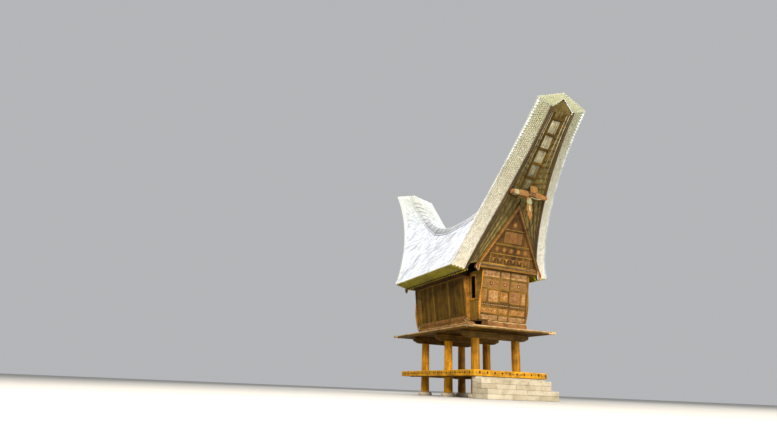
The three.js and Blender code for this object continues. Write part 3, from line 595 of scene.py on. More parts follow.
def placing_tree():
    tree = bpy.data.node_groups.new("place pieces on points", "GeometryNodeTree")
    for name, kind in (("Points", "Geometry"), ("Piece", "Object"), ("Turn", "Float"),
                       ("Vary", "Float"), ("Seed", "Int"), ("Finish", "Material")):
        tree.interface.new_socket(name, in_out="INPUT", socket_type="NodeSocket" + kind)
    tree.interface.new_socket("Pieces", in_out="OUTPUT", socket_type="NodeSocketGeometry")
    given = tree.nodes.new("NodeGroupInput").outputs
    along, out, size = (add(tree, "GeometryNodeInputNamedAttribute", {"Name": name},
                            data_type="FLOAT_VECTOR") for name in ROW_MARKS)
    run = add(tree, "FunctionNodeAlignRotationToVector", {"Vector": along}, axis="X")
    face = add(tree, "FunctionNodeAlignRotationToVector", {"Rotation": run, "Vector": out},
               axis="Z", pivot_axis="X")
    less = add(tree, "ShaderNodeMath", {0: given["Turn"], 1: -1.0}, operation="MULTIPLY")
    least = add(tree, "ShaderNodeMath", {0: 1.0, 1: given["Vary"]}, operation="SUBTRACT")
    seeds = [add(tree, "ShaderNodeMath", {0: given["Seed"], 1: more}, operation="ADD")
             for more in (0.0, 7.0, 13.0)]
    angle, grow, tint = (
        add(tree, "FunctionNodeRandomValue", {2: low, 3: high, "Seed": seed}, 1, data_type="FLOAT")
        for low, high, seed in zip((less, least, 0.0), (given["Turn"], 1.0, 1.0), seeds))
    spin = add(tree, "FunctionNodeAxisAngleToRotation", {"Axis": (0.2, 0.3, 1.0), "Angle": angle})
    turned = add(tree, "FunctionNodeRotateRotation", {"Rotation": face, "Rotate By": spin},
                 rotation_space="LOCAL")
    scale = add(tree, "ShaderNodeVectorMath", {0: size, 1: grow}, operation="MULTIPLY")
    piece = add(tree, "GeometryNodeObjectInfo", {"Object": given["Piece"], "As Instance": True},
                "Geometry")
    copies = add(tree, "GeometryNodeInstanceOnPoints", {
        "Points": given["Points"], "Instance": piece, "Rotation": turned, "Scale": scale})
    marked = add(tree, "GeometryNodeStoreNamedAttribute",
                 {"Geometry": copies, "Name": "tint", "Value": tint},
                 data_type="FLOAT", domain="INSTANCE")
    real = add(tree, "GeometryNodeRealizeInstances", {"Geometry": marked})
    done = add(tree, "GeometryNodeSetMaterial", {"Geometry": real, "Material": given["Finish"]})
    add(tree, "NodeGroupOutput", {"Pieces": done})
    return tree


PLACING = placing_tree()


def place_pieces(name, rows, piece, finish, seed, turn, vary, smooth=None):
    """Runs the tree over rows of (point, along, out, size) and keeps the result as a plain mesh."""
    guide = bpy.data.meshes.new(name + "_guide")
    guide.from_pydata([tuple(row[0]) for row in rows], [], [])
    for column, key in enumerate(ROW_MARKS, 1):
        store(guide, key, "FLOAT_VECTOR", [c for row in rows for c in row[column]])
    holder = link(name + "_guide", guide)
    modifier = holder.modifiers.new("place", "NODES")
    modifier.node_group = PLACING
    values = {"Piece": piece, "Turn": turn, "Vary": vary, "Seed": seed, "Finish": finish}
    for item in PLACING.interface.items_tree:
        if item.in_out == "INPUT" and item.name in values:
            modifier[item.identifier] = values[item.name]
    mesh = evaluated(holder)
    mesh.name = name
    bpy.data.objects.remove(holder)
    return keep(link(name, mesh), smooth=smooth)


# %% [markdown]
# ## Bamboo pieces
#
# Two small patterns do for the whole roof: a culm split in half, laid hollow side down, and a
# short cut end with its dark bore.

# %% Bamboo pieces
CULM_H = 0.039        # height of one split culm
CULM_WALL = 0.14      # wall thickness, as a share of the radius
CULM_SIDES, END_SIDES = 6, 8
END_RINGS = ((-1.0, 0.5), (0.0, 0.5), (0.0, 0.34), (-0.5, 0.22))     # (x, radius), to the bore


def pattern(name, points, faces, bore=()):
    """A small mesh to be copied by the tree. Its `grain` is its own shape's place."""
    mesh = closed_mesh(name, points, faces)
    store(mesh, "grain", "FLOAT_VECTOR", [c for p in points for c in p])
    store(mesh, "bore", "FLOAT", [float(i in bore) for i in range(len(points))])
    return link(name, mesh)


def half_culm():
    """Runs 1 m along X and is 1 m wide; its size is set where it is placed."""
    ring = CULM_SIDES + 1
    arc = circle(2 * CULM_SIDES)[:ring]
    points = [(x, radius * y, radius * z) for x in (0.0, 1.0)
              for radius in (0.5, 0.5 * (1 - CULM_WALL)) for y, z in arc]
    faces = []
    for k in range(CULM_SIDES):
        a, b, c, d = (corner * ring + k for corner in range(4))    # outside, inside at both ends
        faces += [(a, a + 1, c + 1, c), (b, d, d + 1, b + 1), (a, b, b + 1, a + 1),
                  (c, d, d + 1, c + 1)]
    faces += [tuple(corner * ring + k for corner in (0, 2, 3, 1)) for k in (0, CULM_SIDES)]
    return pattern("half_culm", points, faces)


def cut_end():
    """A short culm that faces +X, 1 m across, with a sunken bore."""
    n = END_SIDES
    points = [(x, y, z) for x, radius in END_RINGS for y, z in circle(n, radius, 0.5)]
    faces = [(r * n + k, r * n + (k + 1) % n, (r + 1) * n + (k + 1) % n, (r + 1) * n + k)
             for r, k in product(range(3), range(n))]
    faces += [tuple(range(n)), tuple(range(3 * n, 4 * n))]
    return pattern("cut_end", points, faces, range(3 * n, 4 * n))


HALF_CULM, CUT_END = half_culm(), cut_end()

# %% [markdown]
# ## Roof courses
#
# The split culms lie in courses down each slope, every course lapping the one below it. The
# CAD slopes are hidden; a core with the same underside fills the roof's thickness, its top 50 mm
# lower, and the culms lie on it so that their backs reach the CAD surface.

# %% Roof core
TOP_SINK = 0.052       # the core's top lies this far under the courses' backs
END_SINK = 0.05        # and its edge this far behind the cut ends
TIP_SINK = 0.025       # share of a horn's run kept free for the cut ends at its tip
CORE_RINGS = 96


def beside(s, step=0.004):
    """The roof's lines just before and just after s."""
    return station(max(s - step, -1)), station(min(s + step, 2))


def edge_frame(s):
    """The edge's outer and inner points, its run, and the way its cut face looks."""
    edge, under = station(s)[1::2]
    before, after = beside(s)
    way = (after[1] - before[1]).normalized()
    face = way.cross(under - edge).normalized()
    if face.z > 0:
        face.negate()
    return edge, under, way, face


def surface(s, f):
    """Point on the top of the +X slope, its way down the slope and its outward normal."""
    ridge, edge = station(s)[:2]
    before, after = beside(s)
    way = (after[0].lerp(after[1], f) - before[0].lerp(before[1], f)).normalized()
    down = (edge - ridge).normalized()
    out = down.cross(way).normalized()
    if out.z < 0:
        out.negate()
    return ridge.lerp(edge, f), down, out


def roof_core(side, name, node):
    work, rings = Workshop(side + 5), []
    for s in steps(-1 + TIP_SINK, 2 - TIP_SINK, CORE_RINGS):
        ridge_under, edge_under = station(s)[2:]
        face = edge_frame(s)[3]
        ring = []
        for f in (0, 0.2, 0.4, 0.6):
            point, down, out = surface(s, f)
            ring.append(point - out * TOP_SINK)
        point, down, out = surface(s, 1)
        lean = out.dot(face)
        back = (END_SINK - lean * TOP_SINK) / max(1 - lean * lean, 0.09)
        ring.append(point - out * (TOP_SINK - back * lean) - face * back)
        for f in (1, 0.66, 0.33, 0):
            ring.append(ridge_under.lerp(edge_under, f) - face * END_SINK * (f == 1))
        rings.append([placed(Vector((max(p.x, 0.001), p.y, p.z)), side) for p in ring])
    work.loft(rings, 0.4)
    work.build(name, bamboo_under, "bamboo_roof", (node,))


roof_core(1, "roof_core_right", "roof_slope_right")
roof_core(-1, "roof_core_left", "roof_slope_left")

# %% Courses of split culms
CULMS = ((-1, 68), (0, 48), (1, 62))      # where each span of s starts, and its number of culms
LAP = 0.014            # a culm's lower end lies this much higher than its upper end
TIP_KEEP = 0.013       # the last culms stay this share of the run inside the tip
COURSES = 11
CULM_LONG = 1.25       # a culm's length, in courses
CULM_WIDE = 1.06       # its width, in spaces between culms
SLIP = 0.2             # its random shift, in courses


def course_rows(side):
    rows, turn = [], Vector((side, 1, 1))
    for start, count in CULMS:
        for _, s in middles(start, start + 1, count):
            s = s * (1 - TIP_KEEP) if s < 0 else s - max(s - 1, 0) * TIP_KEEP
            left, right = station(s - 0.5 / count), station(s + 0.5 / count)
            ridge, edge = station(s)[:2]
            for course in range(COURSES):
                slip = SLIP * noise.noise(Vector((s * 31, course * 5.1, side)))
                f = min(max((course + slip) / COURSES, 0), 1)
                point, down, out = surface(s, f)
                length = (edge - ridge).length * min(CULM_LONG / COURSES, 0.995 - f) - 0.003
                middle = min(f + 0.6 / COURSES, 1)
                pitch = (left[0].lerp(left[1], middle) - right[0].lerp(right[1], middle)).length
                rows.append((placed(point - out * (CULM_H + LAP), side),
                             (down * length + out * LAP) * turn, out * turn,
                             (length, pitch * CULM_WIDE, 2 * CULM_H)))
    return rows


for side, hand in ((1, "right"), (-1, "left")):
    place_pieces(f"roof_courses_{hand}", course_rows(side), HALF_CULM, bamboo_top, 11 + side,
                 0.02, 0.05, 50)

# %% [markdown]
# ## Cut ends along the edges
#
# The roof's edge is cut through all its layers, so from below and from the front one sees row
# above row of bamboo ends. They follow the whole edge, from tip to tip.

# %% Edge ends
END_ROWS, END_W, END_LONG = 9, 0.078, 0.06
END_BACK, END_JITTER = 0.016, 0.012      # how far the ends lie behind the edge, more or less


def end_rows(side, at_eave):
    rows, mirrored = [], Vector((side, 1, 1))
    edge_stations = [s for s in even_stations(END_W) if (0 <= s <= 1) == at_eave]
    for j, s in product(range(END_ROWS), edge_stations):
        across = (j + (0.6 if at_eave else 0.3)) / END_ROWS
        edge, under, way, face = edge_frame(s)
        lean = surface(s, 1)[2].dot(face)      # a horn's edge is thin, so its ends are cut short
        room = across * (under - edge).length * math.sqrt(1 - lean * lean)
        jitter = END_JITTER * noise.noise(Vector((s * 90, j * 3.3, side)))
        point = edge.lerp(under, across) + way * END_W * 0.5 * (j % 2) + face * (jitter - END_BACK)
        rows.append((placed(point, side), face * mirrored, way * mirrored,
                     (min(END_LONG, max(room, 0.02)), END_W * 0.96, END_W)))
    return rows


for side, hand in ((1, "right"), (-1, "left")):
    place_pieces(f"verge_ends_{hand}", end_rows(side, False), CUT_END, bamboo_ends, 31 + side,
                 0.12, 0.14)
    place_pieces(f"eave_ends_{hand}", end_rows(side, True), CUT_END, bamboo_under, 35 + side,
                 0.12, 0.14)
print("roof so far:", sum(made), "triangles")

# %% [markdown]
# ## Ridge
#
# Nothing laps over the ridge, so it is packed with whole culms laid lengthwise, bent into the
# saddle's curve and tied down with rattan about every half metre.

# %% Ridge culms and their lashings
RIDGE_ROWS, RIDGE_REACH = 9, 0.27
RIDGE_CULM, RIDGE_LIFT = 0.034, 0.016          # radius, height over the courses
LASHING_R, LASHING_LIFT, LASHING_STEP = 0.007, 0.048, 0.42


def ridge_point(s, x, lift):
    """A point beside the ridge line, x to one side, lifted off the courses."""
    point, down, out = surface(s, min(abs(x) / max(station(s)[1].x, 0.1), 1))
    normal = Vector((0, out.y, out.z)).normalized().lerp(out, min(abs(x) / 0.1, 1)).normalized()
    return placed(point + normal * lift, 1 if x >= 0 else -1)


work = Workshop(3)
run = steps(-0.995, 1.995, 90)
for k, x in enumerate(steps(-RIDGE_REACH, RIDGE_REACH, RIDGE_ROWS - 1)):
    sag = [0.003 * noise.noise(Vector((s * 9, k * 4.0, 0))) for s in run]
    work.rod([ridge_point(s, x, RIDGE_LIFT + low) for s, low in zip(run, sag)], RIDGE_CULM)
work.build("ridge_culms", bamboo_top, "bamboo_roof", ("ridge_cap",), 60)

work = Workshop(4)
for s, shift in product(even_stations(LASHING_STEP, 0)[:-1], (-0.006, 0.0, 0.006)):
    across = steps(-RIDGE_REACH * 1.12, RIDGE_REACH * 1.12, 10)
    work.rod([ridge_point(s + shift, x, LASHING_LIFT if abs(x) < RIDGE_REACH else 0.0)
              for x in across], LASHING_R, 5)
work.build("ridge_lashings", bamboo_bind, "bamboo_roof")

# %% [markdown]
# ## Horn tips
#
# At each tip the whole thickness of the roof ends in a V of cut culms, closed at its inner
# border by a bent batten that runs on down the verge and along the eave.

# %% Tip ends and verge battens
rows = []
for horn_end, outward in ((-1, -1), (2, 1)):
    ridge, edge, ridge_under, edge_under = station(horn_end)
    way = (edge - ridge).normalized()
    face = (edge - ridge).cross(ridge_under - ridge).normalized()
    if face.y * outward < 0:
        face.negate()
    columns = round((edge - ridge).length / (END_W * 0.87))
    for side, (k, f) in product((1, -1), middles(0, 1, columns)):
        turn = Vector((side, 1, 1))
        outer, inner = ridge.lerp(edge, f), ridge_under.lerp(edge_under, f)
        count = round((inner - outer).length / END_W)
        for j in range(count):
            point = outer.lerp(inner, (j + 0.3 + 0.4 * (k % 2)) / count)
            rows.append((placed(point - face * 0.014, side), face * turn, way * turn,
                         (END_LONG, END_W * 0.95, END_W)))
place_pieces("tip_ends", rows, CUT_END, bamboo_ends, 41, 0.15, 0.16)

BATTEN = 0.024
work = Workshop(6)
for side, (share, radius) in product((1, -1), ((1.0, BATTEN), (0.93, BATTEN * 0.8))):
    frames = [edge_frame(s) for s in steps(-0.997, 1.997, 120)]
    work.rod([placed(edge.lerp(under, share) + face * 0.004, side)
              for edge, under, way, face in frames], radius, 6)
work.build("verge_battens", bamboo_batten, "bamboo_roof")

# %% [markdown]
# ## Wall planes
#
# The body and the gables lean outwards, so that rain from the roof falls clear of them. Every
# board on them is cut and carved flat on the ground, and is placed here in its wall's own axes.

# %% Wall planes
Z = Vector((0, 0, 1))
LEFT_RIGHT, FRONT_REAR = (("left", -1), ("right", 1)), (("front", -1), ("rear", 1))


def sign_of(value):
    return 1 if value > 0 else -1


def sizes(name):
    """A CAD node's low and high corner, its middle and half its size."""
    low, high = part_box(name)
    return low, high, (low + high) / 2, (high - low) / 2


class Face:
    """A flat wall: u runs right as seen from outside, v up the wall, d out of it."""
    def __init__(self, origin, facing, lean=0.0):
        self.origin, facing = Vector(origin), Vector(facing)
        self.right, self.up = Z.cross(facing), (facing * lean + Z).normalized()
        self.out = self.right.cross(self.up)

    def at(self, u, v, d=0.0):
        return self.origin + self.right * u + self.up * v + self.out * d


def panel(work, face, u, v, d, upright=False, bevel=BOARD_BEVEL, tint=None):
    """A board on a wall between two values each of u, v and d."""
    centre = face.at(sum(u) / 2, sum(v) / 2, sum(d) / 2)
    wide, high, thick = (b - a for a, b in (u, v, d))
    size, along = ((high, wide), face.up) if upright else ((wide, high), face.right)
    work.board(centre, (*size, thick), along, face.out, bevel, tint)


def cutout(work, face, outline, d, tint=None, bevel=0.003):
    work.plate(outline, d[1] - d[0], face.at(0, 0, d[0]), face.right, face.up, tint, bevel)


def bead(work, face, path, radius, d, tint=None):
    work.rod([face.at(u, v, d) for u, v in path], radius, 5, tint)


# %% [markdown]
# The carver cuts through a blackened ground and rubs in four earth colours: black, red, yellow
# and white. They have faded to browns in the photograph, so the paint here is thin and dusty.
# The motifs are the common ones: spirals, sun discs, buffalo heads and diamonds.

# %% Painted carving
BLACK, DIM, RAW, RED, ROSE, OCHRE, TAN, CREAM = 0.1, 0.2, 0.3, 0.5, 0.6, 0.7, 0.8, 0.9    # tints
PAINTS = ((0.0, "#372515"), (0.15, "#6e4e1e"), (0.25, "#856230"), (0.4, "#783b1e"),
          (0.55, "#8c6243"), (0.65, "#a3702c"), (0.75, "#b28c5a"), (0.85, "#d6be88"))


def painted_carving():
    material, tree, grain, tint, place = new_material("carved wood, earth paint", 0.8, 0.25)
    spread = add(tree, "ShaderNodeVectorMath", {0: grain, 1: (6, 45, 45)}, operation="MULTIPLY")
    fibre = add(tree, "ShaderNodeTexNoise", {"Vector": spread, "Scale": 1.0, "Detail": 3.0})
    worn = add(tree, "ShaderNodeTexNoise",
               {"Vector": place, "Scale": 7.0, "Detail": 5.0, "Roughness": 0.75})
    paint = add(tree, "ShaderNodeValToRGB", {0: tint}, stops=PAINTS)
    paint.node.color_ramp.interpolation = "CONSTANT"
    body = shaded(tree, paint, ((0.7, fibre, ((0.3, "#a08d75"), (0.6, "#ffffff"))),))
    body = turned_to(tree, body, linear("#6e4b22"), worn, 0.46, 0.64)      # bare wood
    surface_finish(tree, body, fibre, 0.3, 2 * MM)
    return material


carving = painted_carving()

# %% Carved motifs
HALF_HEAD = ((0, -0.5), (0.14, -0.42), (0.2, -0.05), (0.36, 0.02), (0.24, 0.1), (0.55, 0.16),
             (0.74, 0.36), (0.72, 0.56), (0.6, 0.4), (0.42, 0.3), (0.15, 0.26), (0, 0.28))
SUN_RAYS = 14


def scroll(work, face, u, v, size, hand, d, tint, turns=1.6):
    """A carved spiral, tapering to its eye."""
    path, radii = [], []
    for f in steps(0, 1, int(turns * 12)):
        a, reach = 2 * math.pi * turns * f, size * (1 - 0.86 * f)
        path.append(face.at(u + hand * reach * math.cos(a), v - reach * math.sin(a), d))
        radii.append(size * (0.13 - 0.07 * f))
    work.rod(path, radii, 5, tint)


def sun(work, face, u, v, size, d, tint, boss_tint=CREAM):
    """A sun disc with a boss and rays, carved above the panels of a house of rank."""
    for sides, share, low, high, paint in ((20, 0.5, 0, 0.010, tint),
                                           (10, 0.2, 0.008, 0.016, boss_tint)):
        disc = [(u + x, v + y) for x, y in circle(sides, size * share)]
        cutout(work, face, disc, (d + low, d + high), paint)
    for a in steps(0, 2 * math.pi, SUN_RAYS)[:-1]:
        ray = [(u + size * far * math.cos(a + w), v + size * far * math.sin(a + w))
               for far, w in ((1, 0), (0.56, 0.16), (0.56, -0.16))]
        cutout(work, face, ray, (d, d + 0.007), OCHRE, 0.001)


def buffalo(work, face, u, v, size, d, tint):
    """A buffalo head seen from the front, its horns swept up and out."""
    outline = [*HALF_HEAD, *((-x, y) for x, y in HALF_HEAD[-2:0:-1])]
    cutout(work, face, [(u + x * size, v + y * size) for x, y in outline], (d, d + 0.010), tint)


def diamonds(work, face, u, v, size, d, tint):
    """A row of diamonds between two values of u."""
    half = size / 2
    for _, x in middles(*u, max(int((u[1] - u[0]) / (size * 1.25)), 1)):
        cutout(work, face, [(x - half, v), (x, v - half), (x + half, v), (x, v + half)],
               (d, d + 0.008), tint)


# %% [markdown]
# ## Footings and posts
#
# Each post stands on a rough round boulder, and nothing ties it to the stone but weight. The
# posts are whole trunks, rubbed smooth, a little thicker at the foot.

# %% Stone, footings and posts
BOULDER = ((0.86, 0), (0.95, 0.2), (0.96, 0.5), (0.9, 0.78), (0.76, 0.96), (0.0001, 1.0))
TRUNK = ((0.96, 0), (0.98, 0.01), (0.97, 0.1), (0.93, 0.22), (0.91, 0.4), (0.9, 0.6),
         (0.885, 0.8), (0.88, 0.985), (0.86, 1.0))      # shares of the foot's radius and height


def hewn_stone(name, pale, middle, dark):
    """Dusty stone in soft clouds with fine specks, its relief 12 mm deep."""
    material, tree, grain, tint, place = new_material(name, 0.85, 0.3)
    cloud = add(tree, "ShaderNodeTexNoise",
                {"Vector": place, "Scale": 2.6, "Detail": 8.0, "Roughness": 0.7})
    speck = add(tree, "ShaderNodeTexNoise", {"Vector": place, "Scale": 60.0, "Detail": 3.0})
    body = add(tree, "ShaderNodeValToRGB", {0: cloud},
               stops=((0.32, dark), (0.5, middle), (0.66, pale)))
    body = shaded(tree, body, ((0.5, speck, ((0.35, "#8d8577"), (0.6, "#ffffff"))),
                               (0.6, tint, ((0.0, "#cdc6b6"), (1.0, "#ffffff")))))
    rough = add(tree, "ShaderNodeMath", {0: cloud, 1: speck}, operation="ADD")
    surface_finish(tree, body, rough, 0.6, 12 * MM)
    return material


stone = hewn_stone("hewn limestone", "#cfc6b0", "#c5bba3", "#aaa086")
boulders, logs = Workshop(21), Workshop(22)
places = [f"{part}_{hand}" for part in ("front", "middle", "rear") for hand in ("left", "right")]
stone_names = ["footing_stone_" + place for place in places]
post_names = ["post_" + place for place in places]
for stone_name, post_name in zip(stone_names, post_names):
    low, high, centre, half = sizes(stone_name)
    boulders.turned([(half.y * r, high.z * h) for r, h in BOULDER], (centre.x, centre.y, 0),
                    sides=26, wobble=0.09)
    low, high, centre, half = sizes(post_name)
    logs.turned([(half.x * r, 2 * half.z * h) for r, h in TRUNK], (centre.x, centre.y, low.z),
                sides=30, wobble=0.025)
boulders.build("footing_boulders", stone, "stone", stone_names, 40)
logs.build("post_logs", post_wood, "post_wood", post_names, 40)

# %% [markdown]
# ## Stone step
#
# The front step is laid in rough courses with open joints. Its back course carries the ends of
# the deck's beams.

# %% Step blocks
TREAD_Z, CURB_DEEP = 0.69, 0.36     # the upper step's tread, and the kerb in front of its blocks


def masonry(work, low, high, block, course, seed):
    """Courses of hewn blocks inside a box, one block deep, with staggered joints."""
    rng = random.Random(seed)
    for row, (z0, z1) in enumerate(parts(low[2], high[2], round((high[2] - low[2]) / course))):
        x = low[0]
        while x < high[0] - 0.01:
            wide = block * rng.uniform(0.7, 1.3) * (0.6 if x == low[0] and row % 2 else 1)
            end = high[0] if high[0] - x - wide < block * 0.45 else x + wide
            recess = rng.uniform(0, 0.012)
            work.plank((x + 0.002, low[1] + recess, z0 + 0.002), (end - 0.002, high[1], z1 - 0.001),
                       0, 0.012)
            x = end


work = Workshop(23)
masonry(work, *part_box("step_lower"), 1.0, 0.18, 5)
low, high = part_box("step_upper")
curb_y = low.y + CURB_DEEP
masonry(work, (low.x, low.y, 0), (high.x, curb_y, TREAD_Z), 0.9, 0.175, 8)
masonry(work, (low.x, curb_y, 0), high, 0.8, 0.19, 9)
work.build("step_blocks", stone, "stone", ("step_lower", "step_upper"))

# %% [markdown]
# ## Deck
#
# Planks lie across two long beams and are cut round the posts. Edge boards hide their ends and
# carry small cut diamonds and scrolls in turn, between two grooves.

# %% Deck planks and beams
PLANK_W, POST_HOLE = 0.215, 0.19       # width, radius

work, cutters = Workshop(24), Workshop(25)
low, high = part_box("deck_floor")
for y0, y1 in parts(low.y, high.y, round((high.y - low.y) / PLANK_W)):
    work.plank((low.x, y0 + 0.003, low.z + work.random.uniform(0, 0.004)),
               (high.x, y1 - 0.003, high.z - work.random.uniform(0, 0.005)), 0, 0.005)
planks = work.build("deck_planks", deck_wood, "deck_planks", ("deck_floor",))
for name in post_names:
    centre = sizes(name)[2]
    cutters.turned([(POST_HOLE, 0), (POST_HOLE, 0.4)], (centre.x, centre.y, 0.8), sides=28)
holes = link("post_holes", bpy.data.meshes.new("post_holes"))
holes.data.from_pydata([tuple(p) for p in cutters.points], [], cutters.faces)
cut = planks.modifiers.new("holes", "BOOLEAN")
cut.object, cut.operation, cut.solver = holes, "DIFFERENCE", "EXACT"
whole, planks.data = planks.data, evaluated(planks)
planks.modifiers.clear()
bpy.data.objects.remove(holes)
bpy.data.meshes.remove(whole)

work, beam_names = Workshop(26), ("deck_beam_left", "deck_beam_right")
for name in beam_names:
    work.plank(*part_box(name), 1, 0.012)
work.build("deck_beams", frame_wood, "frame_timber", beam_names)

# %% Deck edges
MARK_STEP = 0.165

work, marks = Workshop(27), Workshop(19)
edge_names = [f"deck_edge_{name}" for name in ("front", "rear", "left", "right")]
for name in edge_names:
    centre, half = sizes(name)[2:]
    across = 1 if half.x > half.y else 0          # the axis that the board faces along
    outward = Matrix.Identity(3)[across] * sign_of(centre[across] - (0, HOUSE_Y)[across])
    face = Face(centre + outward * half[across], outward)
    wide, tall = half[1 - across], half.z
    panel(work, face, (-wide, wide), (-tall, tall), (-2 * half[across], -0.010), False, 0.004, 0.7)
    for v in ((tall - 0.034, tall), (-tall, -tall + 0.03), (-tall + 0.044, -tall + 0.056)):
        panel(work, face, (-wide, wide), v, (-0.012, 0), False, 0.004, 0.95)
    for k, u in middles(-wide, wide, round(2 * wide / MARK_STEP)):
        if k % 2:
            mark = [(u - 0.05, 0.012), (u, -0.04), (u + 0.05, 0.012), (u, 0.064)]
            cutout(marks, face, mark, (-0.012, -0.001), BLACK)
        else:
            for turn in (-1, 1):
                scroll(marks, face, u + 0.03 * turn, 0.012, 0.03, turn, -0.006, BLACK, 1.2)
marks.build("deck_edge_marks", carving, "deck_planks")
work.build("deck_edge_boards", deck_wood, "deck_planks", edge_names)

# %% [markdown]
# ## Head beams and ledge
#
# Three heavy beams lie on the posts. On them rests the wide ledge, where rice is set down when
# it is handed in; its corner boards curl outwards.

# %% Head beams
work = Workshop(28)
head_names = [f"head_beam_{part}" for part in ("front", "middle", "rear")]
for name in head_names:
    low, high, centre, half = sizes(name)
    tall = high.z - low.z
    nose = [(half.x - x, tall * z) for x, z in ((0, 0.45), (0.05, 0.3), (0.13, 0.22), (0.16, 0.1),
                                                (0.28, 0.0))]
    outline = [*((-x, z) for x, z in nose), *nose[::-1], (half.x, tall), (-half.x, tall)]
    cutout(work, Face((0, high.y, low.z), (0, -1, 0)), outline, (0, high.y - low.y), None, 0.012)
    for side in (-1, 1):
        face = Face((side * (half.x - 0.16), low.y, low.z + tall * 0.62), (0, -1, 0))
        scroll(work, face, 0, 0, 0.075, side, -0.004, 0.9)
work.build("head_beams", frame_wood, "frame_timber", head_names)

# %% Ledge
EAR, LIP = 0.07, 0.16      # how far the corners curl out, and the width of the rim's boards
EAR_CURL = ((0.0, -0.21), (0.012, -0.08), (0.03, -0.02), (0.07, 0.0), (0.07, 0.05), (0.05, 0.07),
            (0.0, 0.07), (0.0, 0.03), (-0.02, 0.012), (-0.08, 0.0), (-0.21, -0.012), (-0.16, -0.16))

work, planks, painted_shade_lip = Workshop(29), Workshop(20), Workshop(18)
low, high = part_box("ledge")
edge_x, edges_y = high.x - EAR, ((low.y + EAR, -1), (high.y - EAR, 1))
near_y, far_y = (y for y, side in edges_y)
for x0, x1 in parts(-edge_x, edge_x, 13):
    for y0, y1 in ((near_y, HOUSE_Y), (HOUSE_Y, far_y)):
        drop = work.random.uniform(0, 0.006)
        planks.plank((x0 + 0.003, y0 + 0.03, low.z + 0.012 + drop),
                     (x1 - 0.003, y1 - 0.003, high.z - 0.006), 1)
# The rim is two boards. The upper one is pale, weathered, with a painted highlight along its top;
# the lower one, set back, is dark frame wood as painted shade.
lip_z = (low.z + high.z) / 2
for lip, inset, z0, z1 in ((work, 0.0, lip_z, high.z), (painted_shade_lip, 0.012, low.z, lip_z)):
    x = edge_x - inset
    for side in (-1, 1):
        x0, x1 = sorted((side * x, side * (edge_x - LIP)))
        lip.plank((x0, near_y + inset, z0), (x1, far_y - inset, z1), 1, 0.008)
    for y_edge, side in edges_y:
        y0, y1 = sorted((y_edge - side * inset, y_edge - side * LIP))
        lip.plank((-x, y0, z0 + 0.001), (x, y1, z1 - 0.002), 0, 0.008)
for (y_edge, y_side), x_side in product(edges_y, (-1, 1)):
    outline = [(x_side * (edge_x + x), y_edge + y_side * y) for x, y in EAR_CURL]
    work.plate(outline, high.z - low.z - 0.004, (0, 0, low.z + 0.002), (1, 0, 0), (0, 1, 0),
               bevel=0.006)
# The ledge's planks take the dark wall boards, partly as painted shade on the ledge's underside.
planks.build("ledge_planks", dark_boards, "frame_timber", ("ledge",))
work.build("ledge_rim", ledge_wood, "frame_timber")
painted_shade_lip.build("ledge_lower_rim", frame_wood, "frame_timber")

# %% [markdown]
# ## Sills
#
# The body's sills are carved with rows of scrolls, and the long ones end in a rounded nose.

# %% Sills
NOSE_R, SCROLL_STEP = 0.045, 0.24

work, relief = Workshop(30), Workshop(31)
sill_names = [f"sill_{name}" for name in ("left", "right", "front", "rear")]
for name in sill_names:
    low, high, centre, half = sizes(name)
    tall = high.z - low.z
    if half.y > half.x:
        side, wide = sign_of(centre.x), half.y
        arc = [(NOSE_R - NOSE_R * math.sin(a), tall * (0.5 - 0.5 * math.cos(a)))
               for a in steps(0, math.pi, 8)]
        outline = [(-wide + NOSE_R, 0), *((wide - x, z) for x, z in arc),
                   *((-wide + x, tall - z) for x, z in arc[:-1])]
        inner_x, outer_x = sorted((low.x, high.x), key=abs)
        cutout(work, Face((inner_x, centre.y, low.z), (side, 0, 0)), outline,
               (0, high.x - low.x), None, 0.006)
        face = Face((outer_x - side * 0.002, centre.y, low.z), (side, 0, 0))
        wide -= 0.06
        for end_y, outward in ((low.y + 0.03, -1), (high.y - 0.03, 1)):
            for turn in (1, -1):
                scroll(relief, Face((centre.x, end_y, low.z), (0, outward, 0)), -0.05 * turn,
                       tall / 2, 0.05, turn, 0.012, RED)
    else:
        work.plank(low, high, 0, 0.008)
        outward, wide = sign_of(centre.y - HOUSE_Y), half.x
        face = Face((0, centre.y + outward * half.y, low.z), (0, outward, 0))
    for k, u in middles(-wide, wide, round(2 * wide / SCROLL_STEP)):
        scroll(relief, face, u - 0.05, tall * 0.52, 0.055, 1, 0.0, RED if k % 2 else OCHRE)
        scroll(relief, face, u + 0.06, tall * 0.48, 0.05, -1, 0.0, OCHRE if k % 2 else RED)
    bead(relief, face, [(-wide, 0.022), (wide, 0.022)], 0.008, 0.0, OCHRE)
    wave = [(u, tall - 0.034 + 0.014 * math.sin(k * 0.9))
            for k, u in enumerate(steps(-wide, wide, 40))]
    bead(relief, face, wave, 0.013, 0.0, CREAM)
work.build("sill_timbers", sill_wood, "frame_timber", sill_names)
relief.build("sill_scrolls", carving, "frame_timber")

# %% [markdown]
# ## Long walls
#
# The long walls are upright planks let in between studs and rails. They are nearly black with
# smoke and age, with scrolls along the foot and cut diamonds on the rails.

